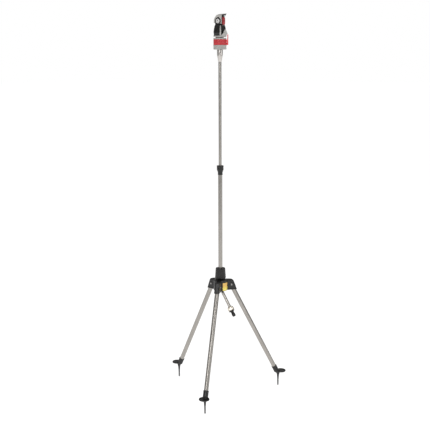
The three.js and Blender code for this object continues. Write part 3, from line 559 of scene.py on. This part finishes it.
def make_foot(side):
    """Sleeve, tread disc and ground spike, run together as one moulding."""
    mouth = LEG_LENGTH
    to_leg = Matrix.Translation((PIVOT_R, 0, PIVOT_Z)) @ Matrix.Rotation(math.radians(180 - SPLAY), 4, "Y")
    sleeve = moved(lathe("sleeve", [
        (0, mouth), (14.9, mouth, 0.8), (14.9, mouth + 5, 0.5), (14.2, mouth + 6.4, 0.5),
        (14.2, mouth + 34, 3), (9, mouth + 44, 3), (0, mouth + 44),
    ], 64), to_leg)
    bore = moved(rod("bore", 12.3, mouth - 2, mouth + 30), to_leg)
    spike = moved(lathe("spike", [
        (0, 0), (2.6, 0, 0.6), (3.7, 5, 3), (4.3, 40, 20), (6.2, 60, 12), (9.5, 72, 8), (13, 82),
        (12, 88), (0, 88),
    ], 48), Matrix.Translation((333.1, 0, 0)))
    tread = moved(lathe("tread", [
        (0, 79), (23, 79, 3), (27.3, 81, 2), (28, 84, 1.5), (27, 87.5, 1), (25.2, 87.5, 1), (23, 84.3, 2),
        (0, 83.6),
    ], 80), Matrix.Translation((349.1, 0, 0)))
    ribs = [
        slab("rib", [(333, 60), (350, 79.5), (333, 80)], 1.2),
        slab("rib", [(333, 62), (333, 79.5), (322, 79.5)], 1.2),
    ]
    foot = cut(join(sleeve, spike, tread, *ribs), bore)
    finish_piece(moulded(foot, 0.75, 3, 0.3), f"foot_spike_{side}", BLACK, place(SIDES[side]))


# ------------------------------------------------------------------ mast
def make_mast():
    lower = lathe("lower", [(9.9, 602), (LOWER_R, 602, 0.3), (LOWER_R, 1226, 0.3), (9.9, 1226)], 72)
    finish_piece(lower, "mast_lower_tube", TUBE)
    upper = lathe("upper", [(6.95, 1110), (UPPER_R, 1110, 0.3), (UPPER_R, 1812, 0.3), (6.95, 1812)], 64)
    finish_piece(upper, "mast_upper_tube", TUBE)

    body = lathe("clamp", [
        (11.4, 1200, 0.3), (13.1, 1200, 0.6), (13.1, 1202, 0.8), (12.7, 1204, 0.6), (12.8, 1213.4, 1),
        (15, 1219, 0.6), (14, 1220), (14, 1238, 0.5), (11, 1238), (11, 1229.5), (8.4, 1229.5),
        (8.4, 1226.3), (11.4, 1226.3),
    ], 80)
    finish_piece(body, "mast_clamp_body", BLACK)

    low_grip = [(17.9, z) for z in range(1229, 1234)]
    high_grip = [(18.0, z) for z in range(1240, 1248)]
    nut = lathe("nut", [
        (14.5, 1220), (15.4, 1220, 0.5), (17.6, 1227.5, 1.5), *low_grip, (17.8, 1234.4, 0.8),
        (16.6, 1236.8, 0.8), (17.8, 1239, 0.8), *high_grip, (17.8, 1249, 1.6), (9, 1249, 0.5),
        (8.4, 1248), (8.4, 1246), (9.4, 1246), (11.3, 1240.5), (11.3, 1238.6), (14.5, 1238.6),
    ], 288, outer_only(fluting(12, 1.0, 1224, 1248.5, 2), 15.5))
    finish_piece(nut, "mast_clamp_nut", BLACK)

    seal = lathe("seal", [
        (8.25, 1112), (9, 1112), (9.6, 1113, 0.4), (9.6, 1118, 0.4), (9, 1119), (9, 1121), (9.6, 1122, 0.4),
        (9.6, 1127, 0.4), (9, 1128), (8.25, 1128),
    ], 48)
    finish_piece(seal, "mast_slide_seal", RUBBER)


# ------------------------------------------------------------------ hose inlet
INLET_BEND_R = 35


def inlet_route(steps=14):
    """The inlet's centre line in its own vertical plane: down the mast, round a bend, then straight."""
    lean = math.radians(INLET_TILT)
    tangent = INLET_BEND_R * math.tan(lean / 2)

    def straight(w):
        return Vector((w * math.sin(lean), 0, INLET_Z - w * math.cos(lean)))

    start, corner, end = Vector((0, 0, INLET_Z + tangent)), straight(0), straight(tangent)
    points = [Vector((0, 0, 640)), Vector((0, 0, 620))]
    for k in range(steps + 1):
        t = k / steps
        points.append((1 - t) ** 2 * start + 2 * t * (1 - t) * corner + t * t * end)
    return points + [straight(60), straight(100), straight(124)]


def pipe_along(name, route, r, sides=56):
    """A round bar along a route that lies in the XZ plane."""
    loops = []
    for i, point in enumerate(route):
        ahead = route[min(i + 1, len(route) - 1)] - route[max(i - 1, 0)]
        out = Vector((ahead.z, 0, -ahead.x)).normalized()
        loop = []
        for k in range(sides):
            angle = 2 * math.pi * k / sides
            loop.append(point + r * (math.cos(angle) * out + math.sin(angle) * Vector((0, 1, 0))))
        loops.append(loop)
    return loft(name, loops)


def make_inlet():
    route = inlet_route()
    outward = (route[-1] - route[-2]).normalized()
    longer = [route[0] + Vector((0, 0, 2)), *route[1:-1], route[-1] + outward * 2]
    to_plane = Matrix.Translation((0, 0, INLET_Z)) @ Matrix.Rotation(math.radians(180 - INLET_TILT), 4, "Y")
    flare = moved(rod("flare", 12, 121.2, 124, 56, 0.4), to_plane)
    pipe = cut(join(pipe_along("pipe", route, UPPER_R), flare), pipe_along("bore", longer, 6.5))
    along = tube_axes(INLET_AZIMUTH, INLET_TILT)
    metal = drawn_metal("drawn_aluminium_inlet", shade(ALUMINIUM_COLOR, 1.3), 0.42, along)
    finish_piece(pipe, "inlet_pipe", metal, place(INLET_AZIMUTH))
    seal = lathe("seal", [(8.25, 604), (9.6, 604, 0.3), (9.6, 634, 0.3), (8.25, 634)], 48)
    finish_piece(seal, "inlet_seal", RUBBER)

    grip = [(17.0, z) for z in range(124, 134)]
    nut = lathe("nut", [
        (8.5, 113, 0.4), (11, 113, 1.2), (15, 116.4, 3), (16.6, 120.5, 1), (16.2, 122, 0.4),
        (17.0, 122.8, 0.4), *grip, (17.0, 134.8, 0.6), (15.9, 136.8, 0.8), (12.9, 136.8), (12.9, 120.7),
        (8.5, 120.7),
    ], 324, outer_only(fluting(27, 0.75, 123, 135, 1.2), 15.2))
    finish_piece(nut, "hose_coupling_nut", NICKEL, ON_INLET)
    washer = lathe("washer", [(6, 124.3, 0.3), (12, 124.3, 0.3), (12, 126.5, 0.3), (6, 126.5, 0.3)], 48)
    finish_piece(washer, "hose_washer", RUBBER, ON_INLET)
    connector = lathe("connector", [
        (5, 126.8), (12.4, 126.8, 0.4), (12.4, 137.3), (15.6, 137.3, 0.5), (15.6, 140.4, 0.6),
        (12.2, 142.3, 1), (8.5, 143.5, 1), (8.5, 147.5, 0.6), (7, 148.6, 0.4), (7, 153.4, 0.6),
        (9.5, 155.6, 1), (9.9, 162, 3), (8.8, 168.5, 2), (7.3, 171, 0.8), (5, 171, 0.4),
    ], 80)
    finish_piece(connector, "quick_connector", BLACK_GLOSS, ON_INLET)
    ring = lathe("ring", [(7.3, 149.2, 0.6), (8.9, 149.2, 0.9), (8.9, 152.4, 0.9), (7.3, 152.4, 0.6)], 56)
    finish_piece(ring, "connector_o_ring", RUBBER, ON_INLET)


# ------------------------------------------------------------------ head: base
RING_TABS = {"lower": 22, "upper": 8}
RING_LEVELS = {"lower": (1873.6, 1887.2), "upper": (1887.8, 1902)}


def knurl(count, depth, low, high, outer):
    """Fine upright grip ribs on the outside of a ring between two heights."""
    def ripple(angle, r, z):
        if r < outer or not low < z < high:
            return r
        return r - depth * (0.5 + 0.5 * math.cos(count * angle)) ** 2
    return ripple


def make_base():
    adapter = lathe("adapter", [
        (8.25, 1788), (8.9, 1788, 0.3), (14.4, 1819.5, 3), (14.4, 1821.4, 0.3), (13.9, 1822.2, 0.3),
        (15, 1823, 0.5), (15, 1849, 0.8), (13.2, 1850), (13.2, 1863, 0.6), (6, 1863), (6, 1812.3),
        (8.25, 1812.3),
    ], 80)
    finish_piece(adapter, "head_adapter", ADAPTER_METAL)

    grip = [(33.2, z) for z in range(1858, 1868, 2)]
    housing = lathe("housing", [
        (13.6, 1850.3), (31, 1850.3, 1), (34.1, 1853.4, 1.2), (34.1, 1856.2, 0.6), (33.2, 1857, 0.4), *grip,
        (33.2, 1868.2, 0.4), (34.2, 1869.2, 0.6), (34.2, 1873, 0.6), (29.5, 1873), (29.5, 1905.7, 0.3),
        (27, 1905.7, 0.3), (27, 1853.3, 1),
        (16.5, 1853.3, 1), (16.5, 1866.2, 0.3), (13.6, 1866.2, 0.3),
    ], 360, knurl(60, 0.5, 1857.5, 1867.9, 33))
    finish_piece(housing, "base_housing", GREY)

    cover = lathe("cover", [
        (7.5, 1903), (26.6, 1903), (26.6, 1906), (29.9, 1906), (29.9, 1902.6, 0.2), (33.2, 1902.6, 0.4),
        (33.2, 1909, 0.9), (20, 1909, 0.4), (20, 1914, 0.4), (7.5, 1914, 0.3),
    ], 96)
    finish_piece(cover, "drive_cover", GREY)
    seal = lathe("seal", [(7.4, 1900.2, 0.4), (10, 1900.2, 0.8), (10, 1902.7, 0.8), (7.4, 1902.7, 0.4)], 48)
    finish_piece(seal, "turret_seal", RUBBER)


def make_limit_ring(level):
    """A grip ring with a tall tab. Small upright ribs run round it in two rows."""
    low, high = RING_LEVELS[level]
    middle = (low + high) / 2
    band = lathe("band", [
        (29.9, low, 0.3), (33.5, low, 0.5), (33.5, low + 1.4), (33.5, low + 1.5), (33.5, middle - 0.9, 0.2),
        (32.8, middle - 0.5, 0.2), (32.8, middle + 0.5, 0.2), (33.5, middle + 0.9, 0.2), (33.5, high - 1.5),
        (33.5, high - 1.4), (33.5, high, 0.5), (29.9, high, 0.3),
    ], 288, knurl(48, 0.35, low + 1.45, high - 1.45, 33.4))
    arm = prism("arm", sector(31, 43.4, 5.4), low + 0.1, high - 0.1)
    finger = prism("finger", sector(39.4, 43.4, 5.4), low + 0.1, 1926.9)
    tab = bevelled(join(arm, finger), 0.7, 3)
    tab = moved(tab, Matrix.Rotation(math.radians(RING_TABS[level]), 4, "Z"))
    finish_piece(join(band, tab), f"limit_ring_{level}", RED)


# ------------------------------------------------------------------ head: turret
CUP_LOW, CUP_FRONT, CUP_BACK, CUP_NOMINAL, CUP_FOOT = 1920.2, 1952, 1936, 1936, 1919
CUP_R = 33.9
SCOOP_FRONT, SCOOP_SIDE, SCOOP_SQUARENESS = 37.5, 19.4, 14


def cup_height(angle):
    away = abs(math.degrees(math.atan2(math.sin(angle), math.cos(angle))))
    front = 1 - smoothstep(0, 44, away)
    back = smoothstep(150, 172, away)
    return CUP_LOW + (CUP_FRONT - CUP_LOW) * front + (CUP_BACK - CUP_LOW) * back


def scoop(angle):
    """How far the squared front lip stands out beyond the round wall, as a ratio."""
    if math.cos(angle) <= 0:
        return 1
    front = (math.cos(angle) / SCOOP_FRONT) ** SCOOP_SQUARENESS
    side = (abs(math.sin(angle)) / SCOOP_SIDE) ** SCOOP_SQUARENESS
    return max(1, (front + side) ** (-1 / SCOOP_SQUARENESS) / CUP_R)


def cup_wall(vertex):
    """Raises the cup's wall in front and behind, cuts it low at the sides and squares the front out."""
    if vertex.z <= CUP_FOOT + 0.01:
        return
    angle = math.atan2(vertex.y, vertex.x)
    vertex.z = CUP_FOOT + (vertex.z - CUP_FOOT) * (cup_height(angle) - CUP_FOOT) / (CUP_NOMINAL - CUP_FOOT)
    jut = 1 + (scoop(angle) - 1) * smoothstep(1921, 1931, vertex.z)
    vertex.x *= jut
    vertex.y *= jut


def tower_scale(z):
    """The tower swells above the cup and draws in below the hood."""
    swell = 0.95 + 0.13 * smoothstep(1918.8, 1937, z)
    return swell - 0.12 * smoothstep(1937, 1966, z) - 0.14 * smoothstep(1960, 1980, z)


POST_ANGLES = (-45, 135)
POST_FOOT, POST_TOP, POST_HALF, POST_TAPER = 1917.5, 1971, 4.7, 0.045


def corner_post(angle, grow=0.0, reach=0.0):
    """A post that follows the tower's corner and narrows upward."""
    count = 14
    heights = [POST_FOOT + (POST_TOP - POST_FOOT) * k / count for k in range(count + 1)]
    loops = []
    for k, z in enumerate(heights):
        half = POST_HALF - (z - POST_FOOT) * POST_TAPER + grow - (0.6 if k == count and not grow else 0)
        inside, outside = (26.8 - grow) * tower_scale(z), 30.9 * tower_scale(z) + reach
        z += grow if k == count else 0
        loops.append([(inside, -half, z), (outside, -half, z), (outside, half, z), (inside, half, z)])
    return moved(loft("post", loops), Matrix.Rotation(math.radians(angle), 4, "Z"))


def make_cup():
    wall = [CUP_FOOT + 1.5 + 1.5 * k for k in range(10)]
    cup = lathe("cup", [
        (7.3, 1914.5), (31, 1914.5, 0.8), (33, 1916.6, 1), (33.6, CUP_FOOT), *[(CUP_R, z) for z in wall],
        (33.6, CUP_NOMINAL, 0.7), (31.5, CUP_NOMINAL, 0.7), *[(31.25, z) for z in reversed(wall)],
        (30.8, CUP_FOOT), (29.6, 1918.5, 0.3), (7.3, 1918.5, 0.3),
    ], 288)
    for vertex in cup.data.vertices:
        cup_wall(vertex.co)
    posts = [corner_post(angle) for angle in POST_ANGLES]
    hole = moved(rod("hole", 1.7, 1910, 1925), Matrix.Translation((LEVER_X, 0, 0)))
    cup = cut(join(cup, *posts), hole)
    finish_piece(moulded(cup, 0.45, 2, 0.3), "turret_cup", GREY, ON_TURRET)


def tower_loops():
    loops = []
    heights = [(1918.8, 0.985), (1919.6, 1)] + [(1921 + 51.6 * k / 24, 1) for k in range(25)]
    for z, inset in heights + [(1973.8, 0.985), (1974.6, 0.955)]:
        scale = tower_scale(z) * inset
        loops.append([(x * scale, y * scale, z) for x, y in rounded_rect(24, 24, 8.4, 8)])
    return loops


def at_pivot(obj):
    return moved(obj, Matrix.Translation((HOOD_X, 0, HOOD_Z)))


def make_turret_body():
    tower = loft("tower", tower_loops())
    block = at_pivot(across(lathe("block", [(0, -11), (20.3, -11, 1.2), (20.3, 11, 1.2), (0, 11)], 96)))
    snout = slab("snout", [
        (-22.9, 1970), (22, 1970), (24, 1973), (24, 2006), (20, 2009), (0, 2009), (-21.9, 1992),
        (-22.9, 1987),
    ], 10.5)
    waterway = lathe("waterway", [
        (0, 1910), (7.5, 1910), (7.5, 1932), (5.5, 1934), (5.5, 1999), (0, 1999),
    ], 40)
    outlet = lathe("outlet", [(0, 0), (5.5, 0), (5.5, 12), (7.8, 12), (7.8, 30), (0, 30)], 48)
    outlet = moved(along_x(outlet), Matrix.Translation((0, 0, HOOD_Z)))
    ends = [at_pivot(across(rod("end", 2.4, low, high))) for low, high in ((-15, -7.2), (7.2, 15))]
    grooves = [corner_post(angle, 0.4, 4) for angle in POST_ANGLES]
    body = cut(join(tower, block, snout), waterway, outlet, *ends, *grooves)
    finish_piece(moulded(body, 0.5, 3, 0.3), "turret_body", BLACK_GLOSS, ON_TURRET)


NOZZLE_X, NOZZLE_HALF = 24.3, 19.8


def make_nozzle():
    """A red face, bulged forward at its middle, with its main jet and two low jets, on a plug."""
    levels = ((0, 0.5, 0), (0.4, 0, 0), (1.7, 0, 0.5), (2.6, 0.5, 1), (3.0, 1.6, 1), (3.1, 4, 1))
    face = loft("face", [
        [(NOZZLE_X + x + swell * (2.8 * (1 - (z / NOZZLE_HALF) ** 2) - 0.9), y, HOOD_Z + z)
         for z, y in rounded_rect(NOZZLE_HALF - inset, 9.8 - inset, 7 - inset * 0.5, 9)]
        for x, inset, swell in levels
    ])
    at_outlet = Matrix.Translation((NOZZLE_X, 0, HOOD_Z))
    plug = moved(along_x(rod("plug", 7.5, -11, 1.5, 48)), at_outlet)
    collar = moved(along_x(lathe("collar", [(0, 2), (6.4, 2), (6.4, 5.2, 0.8), (0, 5.2)], 48)), at_outlet)
    jets = [moved(along_x(rod("jet", 3.6, -12, 9, 40)), at_outlet)]
    for y in (-4.5, 4.5):
        low_jet = moved(along_x(rod("jet", 1.3, -3, 9, 20)), at_outlet)
        jets.append(moved(low_jet, Matrix.Translation((0, y, -11.5))))
    red = cut(join(face, plug, collar), *jets)
    # The nozzle takes the half-strength red: painted shade for the beak's shadow, not a second plastic.
    finish_piece(bevelled(red, 0.25, 2, 50), "nozzle", RED_PAINTED_SHADE, ON_TURRET)


def between(t, p, q, r, s):
    """A Catmull-Rom curve's value from q to r, with p and s beyond them."""
    return 0.5 * (2 * q + (r - p) * t + (2 * p - 5 * q + 4 * r - s) * t * t + (3 * q - p - 3 * r + s) * t ** 3)


def spline(points, steps):
    """A smooth curve through a list of points."""
    ends = [points[0], *points, points[-1]]
    result = []
    for a, b, c, d in zip(ends, ends[1:], ends[2:], ends[3:]):
        for k in range(steps):
            t = k / steps
            result.append(tuple(between(t, *axis) for axis in zip(a, b, c, d)))
    return result + [points[-1]]


def hood_side():
    """The hood from the side, from its back hem over the roof to its swept front edge, about the pivot."""
    roof = [(-28.9, -9), (-28.7, -3), (-26.9, 5), (-23.4, 13.2), (-19.2, 19.7), (-14.1, 25.7), (-8.4, 29.9)]
    roof += [(-1, 32.9), (8, 34.6), (20, 35.4), (32.8, 35.6)]
    front = [(33.2, 35.1), (29.9, 28), (25.7, 21), (24.9, 14), (26.3, 8), (26.9, 0), (25.9, -7)]
    front += [(23.9, -12.8)]
    return spline(roof, 5) + spline(front, 5) + [(22, -13.9), (11, -13.9)]


def hood_plan(half):
    right = [(-28.9, half - 5), (-27.6, half - 1.4), (-23, half), (-10, half), (12, half), (20, half - 0.9)]
    right += [(28, min(half - 1.8, 8.8)), (34, 6.4), (40, 4.1), (45.9, 1.9), (46.6, 0.6)]
    return spline(right, 4) + [(x, -y) for x, y in reversed(spline(right, 4))]


def hood_crown():
    right = [(13.9, -40), (13.9, 24), (13.4, 29.4), (11.2, 33), (7, 35), (2.5, 35.7)]
    return spline(right, 4) + [(-y, z) for y, z in reversed(spline(right, 4))]


def seen_in_front(name, outline, half):
    """An outline in YZ, extruded along X."""
    return moved(slab(name, outline, half), Matrix.Rotation(math.radians(90), 4, "Z"))


def make_hood():
    skin = slab("skin", hood_side(), 15)
    crown = seen_in_front("crown", hood_crown(), 80)
    plan = prism("plan", hood_plan(13.9), -60, 60)
    cavity = slab("cavity", [
        (60, -40), (60, 33.4), (30, 33), (18, 32.4), (8, 31.4), (0, 29.6), (-7, 26.8), (-12.4, 22.8),
        (-17, 17.4), (-20.8, 11.4), (-24.2, 4), (-26, -4), (-26, -40),
    ], 11.4)
    hood = common(skin, crown, plan)
    hood = cut(hood, cavity, across(rod("window", 19.4, -40, 40, 96)))
    hood = moulded(hood, 0.35, 3, 0.3)
    finish_piece(hood, "deflector_hood", GREY, ON_HOOD)


def make_visor():
    """The liner under the roof, with thin lips that edge the hood in front, and a beak, all black: painted shade
    for the hood's shaded underside and front rim.
    """
    side = [
        (14, 31.1), (20, 31.7), (28, 32.1), (34, 32.5), (34.3, 35.5), (46.3, 35.7), (46.7, 35), (40, 31.6),
        (34, 27.4), (30.2, 20.8), (28.4, 20.8), (29.4, 26.4), (27, 30.2), (14, 29.9),
    ]
    channel = moved(prism("channel", hood_plan(11.4), -60, 31.3), Matrix.Translation((-1.4, 0, 0)))
    visor = cut(common(slab("visor", side, 10.9), prism("plan", hood_plan(12.4), -60, 60)), channel)
    visor = bevelled(visor, 0.15)
    # Black here is painted shade: the lips and beak stand for the hood's rim and underside in shadow.
    finish_piece(visor, "deflector_blade", BLACK, ON_HOOD)


def make_hood_sides():
    for side, turn in (("left", -90), ("right", 90)):
        stub = ON_HOOD @ Matrix.Rotation(math.radians(turn), 4, "X")
        cheek = lathe("cheek", [
            (2.3, 11.3), (19.1, 11.3), (19.1, 12.7, 0.5), (18.2, 13.5, 0.4), (16.2, 13.5, 0.3),
            (15.6, 12.9, 0.3), (12.9, 12.9, 0.3), (12.7, 13.2), (2.3, 13.2),
        ], 96)
        finish_piece(cheek, f"hood_cheek_{side}", BLACK, stub)
        knob = lathe("knob", [
            (2.3, 13.9), (11.6, 13.9, 0.3), (11.6, 15.5, 0.8), (10.2, 16.7, 0.8), (6.4, 16.7, 0.6),
            (5.2, 15.7, 0.5), (2.3, 15.7),
        ], 192, knurl(32, 0.35, 14.3, 15.9, 11.2))
        finish_piece(knob, f"hood_knob_{side}", PALE, stub)
        screw = lathe("screw", [
            (0, 7.5), (2, 7.5), (2, 16), (4.1, 16), (4.1, 17, 0.5), (2.8, 17.9, 0.6), (0, 18.1),
        ], 48)
        slots = []
        for angle in (0, 90):
            slot = prism("slot", rounded_rect(2.6, 0.45, 0.1, 1), 16.9, 20)
            slots.append(moved(slot, Matrix.Rotation(math.radians(angle), 4, "Z")))
        finish_piece(cut(screw, *slots), f"hood_screw_{side}", STEEL, stub)


def make_trip_lever():
    outline = arc_points(0, 0, 4, 180, 360, 14) + arc_points(0, 18, 2.5, 0, 180, 10)
    lever = bevelled(prism("lever", outline, 1910.3, 1913.3), 0.4, 2, 50)
    lever = cut(lever, rod("eye", 1.75, 1905, 1918, 32))
    at_pin = ON_TURRET @ Matrix.Translation((LEVER_X, 0, 0))
    finish_piece(lever, "trip_lever", RED, at_pin)
    pin = lathe("pin", [
        (0, 1909.5), (3, 1909.5, 0.2), (3, 1910, 0.2), (1.4, 1910), (1.4, 1918.4, 0.3), (0, 1918.4),
    ], 32)
    finish_piece(pin, "trip_lever_pin", STEEL, at_pin)


def dress_hidden_drive():
    """The drive inside the head keeps its CAD solids, with moulded and metal finishes of their own."""
    finishes = {
        "inlet_filter": STEEL, "turbine_pin": STEEL, "reduction_gear_pin": STEEL, "turret_shaft": STEEL,
        "stator_plate": ACETAL, "turbine_rotor": ACETAL, "reduction_gear": ACETAL, "output_gear": ACETAL,
    }
    for node, material in finishes.items():
        mesh = frame["nodes"][node].data
        mesh.materials.clear()
        mesh.materials.append(material)


# ------------------------------------------------------------------ set: floor, light and camera
ROOM_LOW, ROOM_HIGH = 0.18, 0.5


def studio_world():
    """White behind the object, and a soft grey room, paler above, for what its surfaces reflect."""
    world = bpy.data.worlds.new("studio")
    bpy.context.scene.world = world
    world.use_nodes = True
    tree = world.node_tree
    sky = tree.nodes["Background"]
    new = tree.nodes.new
    height = new("ShaderNodeSeparateXYZ")
    tree.links.new(new("ShaderNodeTexCoord").outputs["Generated"], height.inputs["Vector"])
    ramp = new("ShaderNodeMapRange")
    for key, number in (("From Min", -0.3), ("From Max", 0.9), ("To Min", ROOM_LOW), ("To Max", ROOM_HIGH)):
        ramp.inputs[key].default_value = number
    tree.links.new(height.outputs["Z"], ramp.inputs["Value"])
    pick = new("ShaderNodeMix")
    tree.links.new(new("ShaderNodeLightPath").outputs["Is Camera Ray"], pick.inputs["Factor"])
    tree.links.new(ramp.outputs["Result"], pick.inputs["A"])
    pick.inputs["B"].default_value = 1.0
    tree.links.new(pick.outputs["Result"], sky.inputs["Strength"])
    sky.inputs["Color"].default_value = (1, 1, 1, 1)


def softbox(name, spot, aim, size, power):
    light = bpy.data.lights.new(name, "AREA")
    light.shape = "RECTANGLE"
    light.size, light.size_y = size
    light.energy = power
    lamp = bpy.data.objects.new(name, light)
    lamp.location = spot
    lamp.rotation_euler = (Vector(aim) - Vector(spot)).to_track_quat("-Z", "Y").to_euler()
    bpy.context.collection.objects.link(lamp)


def make_set():
    floor = prism("floor", [(-30000, -9000), (30000, -9000), (30000, 60000), (-30000, 60000)], -20, -0.5)
    floor.data.transform(Matrix.Scale(MM, 4))
    floor.name = "studio_floor"
    n = Nodes("studio_floor")
    tone = n.mix(n.noise(0.6, 3.0), (0.9, 0.9, 0.9), (0.92, 0.92, 0.92))
    glow = n.shader.inputs["Emission Color"]
    glow.default_value = (1, 1, 1, 1)
    floor.data.materials.append(n.finish(tone, Roughness=0.95, Emission_Strength=0.62))
    studio_world()
    softbox("key", (-0.4, -5.2, 3.6), (0, 0, 1.2), (1.0, 3.0), 95)
    softbox("fill", (3.6, -1.6, 2.4), (0, 0, 1.0), (1.0, 2.4), 25)


def make_camera():
    """The photograph's view: 1.8 m up and 4.7 m from the mast, looking a little down."""
    data = bpy.data.cameras.new("camera")
    data.sensor_width = 36
    data.lens = 75.47
    data.clip_end = 200
    camera = bpy.data.objects.new("camera", data)
    bpy.context.collection.objects.link(camera)
    yaw, pitch, roll = math.radians(14.5), math.radians(9.94), math.radians(-0.2)
    spot = Matrix.Rotation(yaw, 3, "Z") @ Vector((-28.3, -4728, 1812.7)) + Vector((0, MAST_Y, 0))
    level = Matrix.Rotation(yaw, 4, "Z") @ Matrix.Rotation(math.pi / 2 - pitch, 4, "X")
    turn = level @ Matrix.Rotation(roll, 4, "Z")
    camera.matrix_world = Matrix.Translation(spot * MM) @ turn
    bpy.context.scene.camera = camera
    bpy.context.scene.view_settings.view_transform = "Standard"


make_hub()
make_hub_nut()
split_collet("hub_collet", 11.4, 15.7, 664.3, 680, 689.8, 13.3)
make_label()
for leg_side in SIDES:
    make_leg(leg_side)
make_mast()
split_collet("mast_collet", 8.25, 10.7, 1229.8, 1240, 1245.6, 9.1)
make_inlet()
make_base()
for ring_level in RING_LEVELS:
    make_limit_ring(ring_level)
make_cup()
make_turret_body()
make_nozzle()
make_hood()
make_visor()
make_hood_sides()
make_trip_lever()
dress_hidden_drive()
make_set()
make_camera()
